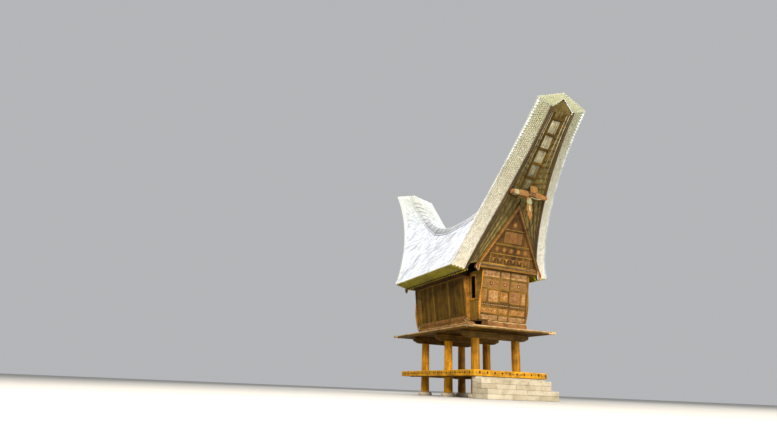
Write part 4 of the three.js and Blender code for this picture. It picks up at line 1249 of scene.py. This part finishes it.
# %% Long walls
wall_low, wall_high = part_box("wall_right")
WALL_LEAN, WALL_FOOT_X = 0.0886, 1.211
STUD_W, RAIL_H, PROUD = 0.08, 0.07, 0.028
FOOT_PANEL = 0.24      # top of the carved panels at the wall's foot
BOARD_T, JOINT = 0.048, 0.002      # thickness of the boards, and half the gap between them
LONG_BOARDS, END_BOARDS = 19, 11
LONG_HALF = (wall_high.y - wall_low.y) / 2
LONG_H = (wall_high.z - wall_low.z) * math.hypot(1, WALL_LEAN)
for hand, side in LEFT_RIGHT:
    face = Face((side * WALL_FOOT_X, HOUSE_Y, wall_low.z), (side, 0, 0), WALL_LEAN)
    boards, frame_work, relief = Workshop(32 + side), Workshop(35 + side), Workshop(38 + side)
    bays = parts(-LONG_HALF, LONG_HALF, 3)
    spans = [(u0 + STUD_W / 2, u1 - STUD_W / 2) for u0, u1 in bays]
    for u0, u1 in parts(-LONG_HALF, LONG_HALF, LONG_BOARDS):
        panel(boards, face, (u0 + JOINT, u1 - JOINT), (0, LONG_H),
              (-BOARD_T, boards.random.uniform(-0.004, 0.004)), True)
    for u in (-LONG_HALF + STUD_W / 2, bays[0][1], bays[1][1], LONG_HALF - STUD_W / 2):
        panel(frame_work, face, (u - STUD_W / 2, u + STUD_W / 2), (0, LONG_H - 0.004),
              (-0.01, PROUD), True)
    for v, (u0, u1) in product((0, LONG_H - RAIL_H - 0.004), spans):
        panel(frame_work, face, (u0, u1), (v, v + RAIL_H), (-0.01, PROUD - 0.003))
        diamonds(relief, face, (u0 + 0.04, u1 - 0.04), v + RAIL_H / 2, 0.034, PROUD - 0.004, OCHRE)
    for k, (u0, u1) in enumerate(spans):
        u0, u1 = u0 + 0.04 * (k == 0), u1 - 0.04 * (k == 2)
        panel(relief, face, (u0 + 0.01, u1 - 0.01), (RAIL_H + 0.01, FOOT_PANEL), (0, 0.014),
              False, 0.004, RAW)
        for j, u in middles(u0, u1, 6):
            scroll(relief, face, u, (RAIL_H + FOOT_PANEL) / 2, 0.062, sign_of(j % 2), 0.018,
                   RED if j % 3 else OCHRE)
    for turn, (far, high, size) in product((-1, 1), ((0.12, 0.17, 0.105), (0.33, 0.13, 0.075))):
        scroll(relief, face, turn * (LONG_HALF - far), high, size, -turn, PROUD + 0.004, ROSE)
    boards.build(f"long_wall_planks_{hand}", dark_boards, "carved_boards", (f"wall_{hand}",))
    frame_work.build(f"long_wall_frame_{hand}", frame_wood, "carved_boards")
    relief.build(f"long_wall_diamonds_{hand}", carving, "carved_boards")

# %% [markdown]
# ## End walls
#
# The front is the house's face: six rows of carved panels between rails and stiles. The middle
# of the tallest row is the hatch through which the rice is handed. The rear repeats the rows
# with a fixed panel in the hatch's place.

# %% One carved panel
ROW_GROUNDS = (TAN, OCHRE, BLACK, OCHRE, RAW, TAN)       # from the foot up
FIELD_GROUNDS = (RAW, TAN, RAW, ROSE, TAN)               # of the tallest row's raised fields
PANEL_ROW, FIELD_INSET = 3, 0.035


def dress_field(relief, face, u, v, row, column):
    """One carved panel: a thin board, a border bead, and the row's own ornament."""
    x, z, wide, tall = sum(u) / 2, sum(v) / 2, u[1] - u[0], v[1] - v[0]
    panel(relief, face, u, v, (0, 0.008), False, 0.002, ROW_GROUNDS[row])
    if row in (0, 5):
        for k, place in middles(*u, max(round(wide / 0.16), 1)):
            scroll(relief, face, place, z, min(tall * 0.34, 0.062), sign_of(k % 2), 0.012,
                   RED if row else ROSE)
    elif row == 1:
        for k, place in middles(*u, max(round(wide / 0.26), 1)):
            buffalo(relief, face, place, z, tall * 0.64, 0.006, TAN)
    elif row == 2:
        diamonds(relief, face, u, z, tall * 0.8, 0.006, TAN)
    elif row == PANEL_ROW:
        inner_u, inner_v = ((low + FIELD_INSET, high - FIELD_INSET) for low, high in (u, v))
        panel(relief, face, inner_u, inner_v, (0.006, 0.014), False, 0.004, FIELD_GROUNDS[column])
        if wide > 0.3:
            for du, dv in product((-0.25, 0.25), (-0.22, 0.22)):
                scroll(relief, face, x + du * wide, z + dv * tall, 0.07, sign_of(du * dv), 0.018,
                       OCHRE)
            diamonds(relief, face, (x - 0.04, x + 0.04), z, 0.09, 0.012, OCHRE)
        else:
            for dv in (-0.3, 0.0, 0.3):
                scroll(relief, face, x, z + dv * tall, 0.05, sign_of(dv != 0), 0.018, OCHRE)
    elif column == 1:
        sun(relief, face, x, z, tall * 0.44, 0.006, RED)
    else:
        sun(relief, face, x, z, tall * 0.40, 0.006, BLACK)
        for du in (-0.36, -0.24, 0.24, 0.36):
            scroll(relief, face, x + du * wide, z + 0.05 * sign_of(abs(du) - 0.3), 0.055,
                   sign_of(du), 0.012, OCHRE)


# %% End walls
end_low, end_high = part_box("wall_front")
FLOOR_TOP, BAY_TOP, BAY_X = end_low.z, end_high.z, end_high.x
FRONT_LEAN, FRONT_FOOT_Y = 0.341 / 1.908, 2.447
END_H = (BAY_TOP - FLOOR_TOP) * math.hypot(1, FRONT_LEAN)
RAILS = (0.0, 0.24, 0.53, 0.68, 1.21, 1.63, END_H)
STILES = (-1.06, -0.24, 0.24, 1.06)
NARROW_STILES = (-1.06, -0.78, -0.24, 0.24, 0.78, 1.06)
HATCH = (-0.198, 0.198, 0.74, 1.148)
END_FACES = {sign: Face((0, HOUSE_Y + sign * FRONT_FOOT_Y, FLOOR_TOP), (0, sign, 0), FRONT_LEAN)
             for sign in (-1, 1)}

for part, sign in FRONT_REAR:
    face, half = END_FACES[sign], RAIL_H / 2
    boards, frame_work, relief = Workshop(42 + sign), Workshop(45 + sign), Workshop(48 + sign)
    for u0, u1 in parts(-BAY_X, BAY_X, END_BOARDS):
        cut = sign < 0 and u0 < HATCH[1] and u1 > HATCH[0]
        for v in ((0, HATCH[2]), (HATCH[3], END_H)) if cut else ((0, END_H),):
            panel(boards, face, (u0 + 0.001, u1 - 0.001), v, (-BOARD_T, -0.001), True)
    for row, (v0, v1) in enumerate(zip(RAILS, RAILS[1:])):
        stiles = NARROW_STILES if row == PANEL_ROW else STILES
        v = v0 + half, v1 - half
        for u in stiles:
            u0, u1 = u - half - 0.005 * (u < -1), u + half + 0.005 * (u > 1)
            panel(frame_work, face, (u0, u1), v, (-0.005, PROUD), True, 0.008)
        for column, (u0, u1) in enumerate(zip(stiles, stiles[1:])):
            if not (sign < 0 and row == PANEL_ROW and column == 2):
                dress_field(relief, face, (u0 + half, u1 - half), v, row, column)
    for v in RAILS:
        panel(frame_work, face, (-BAY_X, BAY_X), (max(v - half, 0), min(v + half, END_H)),
              (-0.005, PROUD - 0.002), False, 0.008)
    boards.build(f"end_wall_planks_{part}", dark_boards, "carved_boards", (f"wall_{part}",))
    frame_work.build(f"end_wall_frame_{part}", frame_wood, "carved_boards")
    relief.build(f"end_wall_carvings_{part}", carving, "carved_boards")

# %% [markdown]
# The hatch is one thick board with its own carved buffalo head and a raised border. It closes
# the hatchway and is lifted out by hand.

# %% Hatch
BORDER = 0.04

work, face = Workshop(51), END_FACES[-1]
hatch_u, hatch_v = HATCH[:2], HATCH[2:]
panel(work, face, hatch_u, hatch_v, (-0.044, -0.012), False, 0.004, OCHRE)
for low, high in ((hatch_u[0], hatch_u[0] + BORDER), (hatch_u[1] - BORDER, hatch_u[1])):
    panel(work, face, (low, high), hatch_v, (-0.014, -0.006), True, 0.003, RAW)
for low, high in ((hatch_v[0], hatch_v[0] + BORDER), (hatch_v[1] - BORDER, hatch_v[1])):
    panel(work, face, (hatch_u[0] + BORDER, hatch_u[1] - BORDER), (low, high), (-0.014, -0.006),
          False, 0.003, RAW)
buffalo(work, face, 0, sum(hatch_v) / 2 - 0.02, 0.2, -0.014, TAN)
work.build("hatch_board", carving, "hatch_wood", ("hatch_front",))

# %% [markdown]
# ## Bays beside the end walls
#
# The narrower bays at both ends have a tall window in each side. A carved leaf-shaped board
# covers the joint at each corner of the body, and a wing-shaped one the end wall's outer edge.

# %% Bay sides, windows and corner boards
WINDOW = (1.96, 2.29, 3.69, 4.57)      # from, to, sill, head
CASING = 0.028                         # half the width of a window's casing
LOW_Z, HIGH_Z = wall_low.z, wall_high.z


def wall_x(z):
    """The long wall's outer corner at a height."""
    return WALL_FOOT_X + (z - LOW_Z) * WALL_LEAN + 0.058


def end_y(z):
    return FRONT_FOOT_Y - 0.052 + (z - FLOOR_TOP) * FRONT_LEAN


bay_names = [f"bay_side_{part}_{hand}" for part in ("front", "rear") for hand in ("left", "right")]
work, corner, relief, wings = Workshop(52), Workshop(53), Workshop(54), Workshop(55)
for (part, sign), (hand, side) in product(FRONT_REAR, LEFT_RIGHT):
    face = Face((side * BAY_X, HOUSE_Y, 0), (side, 0, 0))
    turn_face = Face((0, HOUSE_Y + sign * LONG_HALF, 0), (0, sign, 0))
    along, over = side * sign, -sign * side      # u on both faces, for y and x outwards
    for y0, y1, z0, z1 in ((LONG_HALF, WINDOW[0], FLOOR_TOP, BAY_TOP),
                           (*WINDOW[:2], FLOOR_TOP, WINDOW[2]), (*WINDOW[:2], WINDOW[3], BAY_TOP)):
        panel(work, face, sorted((along * y0, along * y1)), (z0, z1), (-0.05, -0.001), True, 0.003)
    outline = [(along * WINDOW[1], FLOOR_TOP), (along * end_y(FLOOR_TOP), FLOOR_TOP),
               (along * end_y(BAY_TOP), BAY_TOP), (along * WINDOW[1], BAY_TOP)]
    cutout(work, face, outline, (-0.05, BOARD_T - 0.05))
    for y in (WINDOW[0] - 0.03, WINDOW[1] + 0.03):
        panel(corner, face, sorted((along * (y - CASING), along * (y + CASING))),
              (WINDOW[2] - 0.06, WINDOW[3] + 0.06), (-0.002, 0.022), True)
    for z in (WINDOW[2] - 0.03, WINDOW[3] + 0.03):
        panel(corner, face, sorted((along * WINDOW[0], along * WINDOW[1])),
              (z - CASING, z + CASING), (-0.002, 0.02))
    outline = [(over * x, z) for x, z in ((BAY_X + 0.001, LOW_Z), (wall_x(LOW_Z), LOW_Z),
                                          (wall_x(HIGH_Z), HIGH_Z), (BAY_X + 0.001, HIGH_Z))]
    cutout(work, turn_face, outline, (0.001, 0.001 + BOARD_T))
    leaf, back = [], []
    for f in steps(0, 1, 24):
        z = LOW_Z + 0.05 + (HIGH_Z - LOW_Z - 0.1) * f
        curve = 1 + 0.8 * math.sin(2 * math.pi * (f * 1.5 + 0.1))
        swell = 0.045 * math.sin(math.pi * f) ** 0.6 * curve
        leaf.append((over * (wall_x(z) - 0.06 + max(swell, 0.002)), z))
        back.append((over * (BAY_X + 0.004 + 0.3 * (wall_x(z) - BAY_X - 0.1)), z))
    cutout(corner, turn_face, leaf + back[::-1], (BOARD_T, BOARD_T + CASING), bevel=0.005)
    for z in steps(LOW_Z, HIGH_Z, 5)[1:-1]:
        scroll(relief, turn_face, over * ((BAY_X + wall_x(z)) / 2 - 0.01), z, 0.042, side, 0.078,
               RED)
    scroll(relief, turn_face, over * (wall_x(LOW_Z) + 0.02), LOW_Z + 0.07, 0.085, over, 0.07, CREAM)
    wing = []
    for f in steps(0, 1, 20):
        swell = 0.085 * math.sin(math.pi * f) ** 0.7 * (0.58 + 0.42 * math.sin(2 * math.pi * f))
        wing.append((BAY_X + 0.006 + swell, 0.02 + f * (END_H - 0.04)))
    wing += [(BAY_X - 0.03, END_H - 0.02), (BAY_X - 0.03, 0.02)]
    # The left wing board gets the full tint as painted sunlight, the right one a darker tint as
    # painted shade.
    cutout(wings, END_FACES[sign], [(over * u, v) for u, v in wing], (PROUD, PROUD + 0.022),
           float(side < 0), 0.005)
work.build("bay_side_boards", frame_wood, "carved_boards", bay_names)
corner.build("corner_boards", orange_wood, "carved_boards")
wings.build("wing_boards", wing_wood, "carved_boards")
relief.build("corner_scrolls", carving, "carved_boards")

# %% [markdown]
# ## Gables
#
# Each gable is closed with upright boards behind four mouldings. Its carvings are a row of
# buffalo heads, a row of suns, a framed panel and a small sun at the peak.

# %% Gable planes
GABLE_FOOT_Y, GABLE_APEX_Z = 2.93, 7.23
GABLE_HALF_X, GABLE_T, RAKE_W, RAKE_T = 1.4, 0.045, 0.15, 0.07
GABLE_BOARDS = 14
HEAD_STEP, SUN_STEP, SUN_SIZE = 0.31, 0.34, 0.12
UPRIGHTS_HALF = 0.93   # the uprights of the lowest row reach this far to both sides
MOULDINGS = ((0.0, 0.07, 0.03), (0.43, 0.05, 0.02), (0.80, 0.075, 0.035), (1.42, 0.055, 0.025))
GABLE_FOOT_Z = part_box("gable_wall_front")[0].z
FOOT_HALF = GABLE_HALF_X - RAKE_W / 2      # half the width of the boarding at its foot


class Gable:
    def __init__(self, name, side, apex_y):
        self.name, self.side = name, side
        self.lean = (apex_y - GABLE_FOOT_Y) / (GABLE_APEX_Z - GABLE_FOOT_Z)
        self.face = Face((0, HOUSE_Y + side * GABLE_FOOT_Y, GABLE_FOOT_Z), (0, side, 0), self.lean)
        self.length = (GABLE_APEX_Z - GABLE_FOOT_Z) * math.hypot(1, self.lean)

    def half_width(self, v):
        """Half the width of the boarding at a height."""
        return FOOT_HALF * max(1 - v / (self.length - RAKE_W / 2), 0)

    def top(self, u):
        """Height of the boarding at one side, never quite nothing."""
        return max((self.length - RAKE_W / 2) * (1 - abs(u) / FOOT_HALF), 0.004)


# %% Gable boards and carvings
gables = [Gable("front", -1, 3.69), Gable("rear", 1, 3.21)]
for gable in gables:
    face, d = gable.face, GABLE_T - 0.004
    boards, mouldings, relief = Workshop(61), Workshop(62), Workshop(63)
    for u0, u1 in parts(-FOOT_HALF, FOOT_HALF, GABLE_BOARDS):
        shape = [(u0 + JOINT, 0), (u1 - JOINT, 0), (u1 - JOINT, gable.top(u1)),
                 (u0 + JOINT, gable.top(u0))]
        cutout(boards, face, shape, (0, GABLE_T - boards.random.uniform(0.006, 0.014)))
    for v, tall, proud in MOULDINGS:
        wide = gable.half_width(v + tall) - 0.01
        panel(mouldings, face, (-wide, wide), (v, v + tall), (GABLE_T - 0.01, GABLE_T + proud),
              False, 0.012)
        if proud > 0.028 and v:
            wide -= 0.04
            panel(mouldings, face, (-wide, wide), (v - 0.028, v),
                  (GABLE_T - 0.01, GABLE_T + 0.016))
    for u in steps(-UPRIGHTS_HALF, UPRIGHTS_HALF, 6):
        panel(mouldings, face, (u - 0.022, u + 0.022), (0.07, 0.43),
              (GABLE_T - 0.01, GABLE_T + 0.012), True)
    for k in range(-3, 3):
        buffalo(relief, face, (k + 0.5) * HEAD_STEP, 0.25, 0.17, d, OCHRE if k % 2 else RAW)
    for k in range(-2, 3):
        sun(relief, face, k * SUN_STEP, 0.635, SUN_SIZE, d, OCHRE if k % 2 else RAW, OCHRE)
    for sign in (-1, 1):
        scroll(relief, face, sign * 0.88, 0.58, 0.05, sign, d + 0.006, OCHRE)
    wide = gable.half_width(1.42) - 0.11
    panel(relief, face, (-wide, wide), (0.93, 1.36), (d - 0.004, d + 0.008), False, 0.004, DIM)
    for sign in (-1, 1):
        for v, turn in ((1.03, -1), (1.145, 1), (1.26, -1)):
            scroll(relief, face, sign * 0.3, v, 0.05, sign * turn, d + 0.013, RED)
        panel(relief, face, (sign * 0.2 - 0.012, sign * 0.2 + 0.012), (0.95, 1.34), (d, d + 0.014),
              True, 0.003, BLACK)
    buffalo(relief, face, 0, 1.12, 0.25, d + 0.008, RED)
    sun(relief, face, 0, 1.66, SUN_SIZE, d, RAW, OCHRE)
    for sign in (-1, 1):
        scroll(relief, face, sign * 0.17, 1.56, 0.045, sign, d + 0.006, RED)
    boards.build(f"gable_boards_{gable.name}", gable_wood, "carved_boards",
                 (f"gable_wall_{gable.name}",))
    mouldings.build(f"gable_mouldings_{gable.name}", frame_wood, "carved_boards")
    relief.build(f"gable_carvings_{gable.name}", carving, "carved_boards")

# %% [markdown]
# The raking boards run from the gable's beam to its peak. Their edges are rounded, a groove
# follows each edge, and a chain of scrolls fills the middle.

# %% Raking boards
RAKE_FOOT = [(1.335, 0.012), (1.475, 0.012), (1.53, -0.10), (1.555, -0.2), (1.51, -0.30),
             (1.45, -0.33), (1.43, -0.25), (1.40, -0.12)]
RAKE_FOOT_PAINT = [(1.40, -0.03), (1.45, -0.03), (1.50, -0.12), (1.515, -0.2), (1.48, -0.27),
                   (1.455, -0.2)]
RAKE_SCROLLS = 17
for gable in gables:
    face, peak = gable.face, gable.length - 0.03
    work, relief, edges = Workshop(64), Workshop(65), Workshop(67)
    out0, out1 = GABLE_T + 0.001, GABLE_T + RAKE_T - 0.012
    for sign in (-1, 1):
        shape = [(sign * FOOT_HALF, 0.0), (sign * (FOOT_HALF + RAKE_W), 0.0), (0, peak + RAKE_W),
                 (0, peak - RAKE_W)]
        cutout(work, face, shape, (out0, out1), float(sign < 0), 0.008)   # left board painted sunlit, right one painted shade
        for f in (0.1, 0.9):
            start = (sign * (FOOT_HALF + RAKE_W * f), 0.01)
            bead(edges, face, [start, (0, peak - RAKE_W + 2 * RAKE_W * f)], 0.014, out1)
        for k in range(RAKE_SCROLLS):
            f = (k + 0.6) / RAKE_SCROLLS
            scroll(relief, face, sign * GABLE_HALF_X * (1 - f), peak * f, 0.036, sign_of(k % 2),
                   out1, OCHRE if k % 2 else RED, 1.2)
    foot_face = Face((0, HOUSE_Y + gable.side * (GABLE_FOOT_Y + 0.061), GABLE_FOOT_Z),
                     (0, gable.side, 0))
    for sign in (-1, 1):
        foot, paint = ([(sign * u, v) for u, v in shape] for shape in (RAKE_FOOT, RAKE_FOOT_PAINT))
        cutout(work, foot_face, foot, (0.002, 0.045), bevel=0.006)
        cutout(relief, foot_face, paint, (0.04, 0.052), RED, 0.004)
        bead(relief, foot_face, foot[:1] + foot[:1:-1], 0.009, 0.046, CREAM)
    # The edge beads take the darker gable wood: painted shade along the raking boards' sides.
    edges.build(f"raking_edges_{gable.name}", gable_wood, "carved_trim")
    work.build(f"raking_boards_carved_{gable.name}", rake_wood, "carved_trim",
               (f"raking_boards_{gable.name}",))
    relief.build(f"raking_scrolls_{gable.name}", carving, "carved_trim")

# %% Gable beams
BEAM_SCROLLS = 22

work, relief = Workshop(66), Workshop(68)
beam_names = ["gable_beam_front", "gable_beam_rear"]
for name, (part, outward) in zip(beam_names, FRONT_REAR):
    low, high, centre, half = sizes(name)
    work.plank(low, high, 0, 0.014)
    face = Face((0, centre.y + outward * half.y, low.z), (0, outward, 0))
    # A black strip across the beam's upper face is painted shade under the moulding.
    panel(relief, face, (low.x + 0.01, high.x - 0.01), (0.088, 0.146), (-0.01, 0.004), False,
          0.003, BLACK)
    for v, tint in ((0.012, OCHRE), (0.153, CREAM)):
        bead(relief, face, [(low.x + 0.03, v), (high.x - 0.03, v)], 0.010, 0.0, tint)
    for k, u in enumerate(steps(low.x + 0.1, high.x - 0.1, BEAM_SCROLLS - 1)):
        scroll(relief, face, u, 0.05, 0.028, sign_of(k % 2), 0.0, OCHRE)
work.build("gable_beams_adzed", frame_wood, "frame_timber", beam_names)
relief.build("gable_beam_scrolls", carving, "frame_timber")

# %% [markdown]
# ## Horn undersides
#
# A horn is boarded in below. Its recessed middle is a ladder of pale panels between dark bars,
# and raking slats run from the ladder's rails out to the verges. Bamboo laths line the strips
# beside each gable and the inner rim of each horn.

# %% The line of a horn's ceiling
LADDER_HALF, LADDER_STEP, LADDER_TOP = 0.185, 0.43, 10.05
LADDER_CLEAR = 0.36                    # between the gable's peak and the lowest bar
CEILING_HALF_X = 0.23
RISE_STEPS, FOOT_STEPS = 30, 12
SLAT_SHARES = (0.36, 0.72)             # of the way from the ladder to the verge
LATH_SHARES = (0.34, 0.62, 0.84)       # and from the gable's raking board to the verge


class Under:
    """The horn's ceiling line, from over the gable's peak to the tip."""
    def __init__(self, horn, gable, deep, deep_tip):
        self.horn, self.gable, self.deep, self.deep_tip = horn, gable, deep, deep_tip
        self.apex_z = GABLE_FOOT_Z + (gable.length + RAKE_W) / math.hypot(1, gable.lean)
        self.tip_z = station(-1)[3].z
        lines = (self.line(t)[2] for t in steps(0, 1, 200))
        self.middle = [(p.z, abs(p.y)) for p in lines]      # the roof's underside below the ridge

    def line(self, t):
        return station(-t if self.horn.side < 0 else 1 + t)

    def edge(self, z):
        """The roof's inner edge at a height."""
        return self.line((z - EAVE_Z + VERGE_DROP) / (TIP_Z - EAVE_Z - TIP_DROP))[3]

    def rim(self, sign, z):
        """A point just outside that edge."""
        edge = self.edge(z)
        return Vector((sign * edge.x, edge.y + HOUSE_Y - self.horn.side * 0.025, z))

    def ceiling(self, x, z, lift=0.0):
        """A point on the ceiling, lift out of it, and never inside the roof's underside."""
        share = (z - self.apex_z) / (self.tip_z - self.apex_z)
        deep = self.deep + (self.deep_tip - self.deep) * share
        roof = min(self.middle, key=lambda pair: abs(pair[0] - z))[1]
        y = max(abs(self.edge(z).y) - deep, roof + 0.012)
        return Vector((x, self.horn.side * (y + lift * 0.85) + HOUSE_Y, z - lift * 0.5))

    def rake(self, sign, z):
        """A point on the gable's raking board."""
        up = z - GABLE_FOOT_Z
        left = 1 - up / (self.apex_z - GABLE_FOOT_Z)
        y = GABLE_FOOT_Y + up * self.gable.lean + RAKE_T / 2
        x = (GABLE_HALF_X + RAKE_W / 2) * left - 0.02
        return Vector((sign * x, HOUSE_Y + self.horn.side * y, z))


# %% Ladders, slats and laths
unders = [Under(FRONT, gables[0], 0.35, 0.10), Under(REAR, gables[1], 0.33, 0.04)]
panels, bars, laths = Workshop(71), Workshop(72), Workshop(76)
for under in unders:
    side, z, across = under.horn.side, under.apex_z + LADDER_CLEAR, Vector((1, 0, 0))
    while z < LADDER_TOP:
        here, above = under.ceiling(0, z), under.ceiling(0, min(z + LADDER_STEP, LADDER_TOP))
        rise = (above - here).normalized()
        out = rise.cross(across) * side
        bars.board(here + out * 0.03, (2 * CEILING_HALF_X + 0.02, 0.085, 0.07), across, out, 0.012)
        if z + LADDER_STEP < LADDER_TOP:
            middle, tall = (here + above) / 2, (above - here).length - 0.10
            for lift, size in ((0.012, (tall, 2 * LADDER_HALF, 0.02)),
                               (0.024, (tall * 0.66, LADDER_HALF * 1.1, 0.016))):
                panels.board(middle + out * lift, size, rise, out, 0.01)
        z += LADDER_STEP
    heights = steps(under.apex_z + 0.12, LADDER_TOP, RISE_STEPS)
    for sign in (-1, 1):
        for x, radius in ((CEILING_HALF_X - 0.005, 0.03), (LADDER_HALF + 0.006, 0.012)):
            bars.rod([under.ceiling(sign * x, h, 0.02) for h in heights], radius, 6)
        for share in SLAT_SHARES:
            path = [under.ceiling(sign * CEILING_HALF_X, h).lerp(under.rim(sign, h), share)
                    + Vector((0, side * 0.012, -0.006)) for h in heights]
            panels.rod(path, 0.016, 6)
        for h in heights[::2]:
            rail, rim = under.ceiling(sign * CEILING_HALF_X, h, 0.012), under.rim(sign, h)
            bars.board((rail + rim) / 2, ((rim - rail).length - 0.01, 0.05, 0.03), rim - rail,
                       (0, side * 0.85, -0.5))
    low_heights = steps(GABLE_FOOT_Z + 0.1, under.apex_z - 0.02, FOOT_STEPS)
    for sign in (-1, 1):
        for share in LATH_SHARES:
            path = [under.rake(sign, h).lerp(under.rim(sign, h), share)
                    + Vector((0, side * 0.014, -0.008)) for h in low_heights]
            laths.rod(path, 0.02, 6)
        rims = [under.edge(h) for h in low_heights + heights[1:]]
        laths.rod([(sign * (p.x - 0.014), p.y + HOUSE_Y - side * 0.02, p.z) for p in rims],
                  BATTEN, 6)
laths.build("verge_laths", bamboo_batten, "bamboo_roof")
panels.build("horn_ladder_panels", ladder_wood, "frame_timber")
bars.build("horn_ladder_bars", dark_boards, "frame_timber")

# %% [markdown]
# ## Cross-beams
#
# Under each horn a carved beam of several blocks ties the two verges. An upright block stands on
# it, a pale moulding sags below it, it ends in a knob, and a pale disc and a long pendant board
# hang from its middle.

# %% Cross-beams
BLOCKS = ((-0.72, -0.52, 0.82, CREAM), (-0.48, -0.08, 1.0, RAW), (-0.07, 0.29, 0.82, BLACK),
          (0.3, 0.56, 1.0, RAW))      # from, to, share of the beam's height, paint
HALF_PENDANT = ((0.10, 0.03), (0.10, -0.42), (0.13, -0.5), (0.08, -0.6), (0.1, -0.7),
                (0.03, -0.84))
KNOB_X, DISC_R = 0.572, 0.12
TONGUE = ((-0.02, -0.34), (0.02, -0.34), (0.026, -0.54), (0, -0.58), (-0.026, -0.54))
for part, outward in FRONT_REAR:
    low, high, centre, half = sizes(f"cross_beam_{part}")
    work, blocks, limed = Workshop(73), Workshop(74), Workshop(75)
    face = Face((0, centre.y + outward * half.y, centre.z), (0, outward, 0))
    work.plank((low.x + 0.03, low.y + 0.02, centre.z - half.z * 0.72),
               (high.x - 0.14, high.y - 0.02, centre.z + half.z * 0.72), 0, 0.02)
    for x0, x1, share, tint in BLOCKS:
        u = sorted((-outward * x0, -outward * x1))
        panel(limed if tint == CREAM else blocks, face, u, (-half.z * share, half.z * share),
              (-2 * half.y, -0.004), False, 0.02, tint)
        if x1 - x0 > 0.2:
            for k in (-1, 1):
                scroll(blocks, face, sum(u) / 2 + k * (x1 - x0) * 0.22, 0, 0.065, k, -0.003,
                       ROSE if tint == RAW else OCHRE)
    upright = sorted((-outward * 0.12, -outward * 0.46))
    panel(blocks, face, upright, (half.z * 0.9, half.z + 0.3), (-0.16, -0.1), True, 0.012, RAW)
    sag = [(sum(upright) / 2 + 0.24 * f, -half.z * (0.92 + 0.3 * (1 - f * f)))
           for f in steps(-1, 1, 10)]
    bead(limed, face, sag, 0.016, -0.02)
    knob = [(0.05, 0), (0.075, 0.02), (0.075, 0.05), (0.1, 0.07), (half.z * 0.86, 0.11),
            (half.z * 0.98, 0.17), (half.z * 0.9, 0.24), (0.06, 0.28), (0.0001, 0.285)]
    work.turned([(min(r, half.y * 0.98), h) for r, h in knob],
                (-outward * KNOB_X, centre.y, centre.z), (-outward, 0, 0), 20)
    other_half = [(-u, v) for u, v in HALF_PENDANT]
    pendant = [other_half[0], *HALF_PENDANT, (0, -0.95), *other_half[:0:-1]]
    hang = Face((0.02 * outward, centre.y + outward * 0.02, centre.z - half.z), (0, outward, 0))
    cutout(blocks, hang, pendant, (-0.03, 0.015), RAW, 0.006)
    bead(blocks, hang, pendant[2:] + pendant[:3], 0.008, 0.014, OCHRE)
    disc = [(u, v - 0.17) for u, v in circle(24, DISC_R)]
    cutout(limed, hang, disc, (0.013, 0.035), 0.35, 0.006)
    cutout(limed, hang, TONGUE, (0.013, 0.03), CREAM)
    work.build(f"cross_beam_core_{part}", sill_wood, "carved_trim", (f"cross_beam_{part}",))
    blocks.build(f"cross_beam_blocks_{part}", carving, "carved_trim")
    limed.build(f"cross_beam_disc_{part}", limed_wood, "carved_trim")

# %% [markdown]
# ## Eave poles
#
# Poles of whole bamboo run under the roof's lower edge, resting on the wall plates, with the
# rafters' ends showing between them.

# %% Eave poles
RAFTERS, RAFTER_R, POLE_R, POLE_DROP = 26, 0.03, 0.026, 0.10

work = Workshop(81)
for side in (1, -1):
    for s in steps(0.01, 0.99, RAFTERS):
        middle, under = station(s)[2:]
        ends = (middle.lerp(under, 0.80) - Z * 0.045, under + Vector((0.03, 0, -0.045)))
        work.rod([placed(end, side) for end in ends], RAFTER_R)
    for share in (0.96, 0.84):
        lines = [station(s)[2:] for s in steps(0.0, 1.0, 4)]
        work.rod([placed(middle.lerp(under, share) - Z * POLE_DROP, side)
                  for middle, under in lines], POLE_R)
work.build("eave_poles", bamboo_under, "bamboo_roof")

# %% [markdown]
# ## Hidden parts
#
# The body's floor, the wall plates and the boarding behind the horn's ladder keep their CAD
# shape and get wood that follows the object's own axes.

# %% Materials for the kept CAD nodes
for name, material in (("body_floor", hidden_wood), ("wall_plate_left", hidden_wood),
                       ("wall_plate_right", hidden_wood), ("horn_soffit_front", horn_wood),
                       ("horn_soffit_rear", horn_wood)):
    materials = bpy.data.objects[name].data.materials
    materials.clear()
    materials.append(material)
    print(name, "is", material.name)

# %% [markdown]
# ## Last things
#
# The small patterns have been copied into their pieces and are taken away. The triangles of
# all the pieces are counted.

# %% Tidy up and count the triangles
for leftover in (HALF_CULM, CUT_END):
    bpy.data.objects.remove(leftover)

bpy.context.view_layer.update()
print(sum(made), "triangles in", len(made), "pieces")
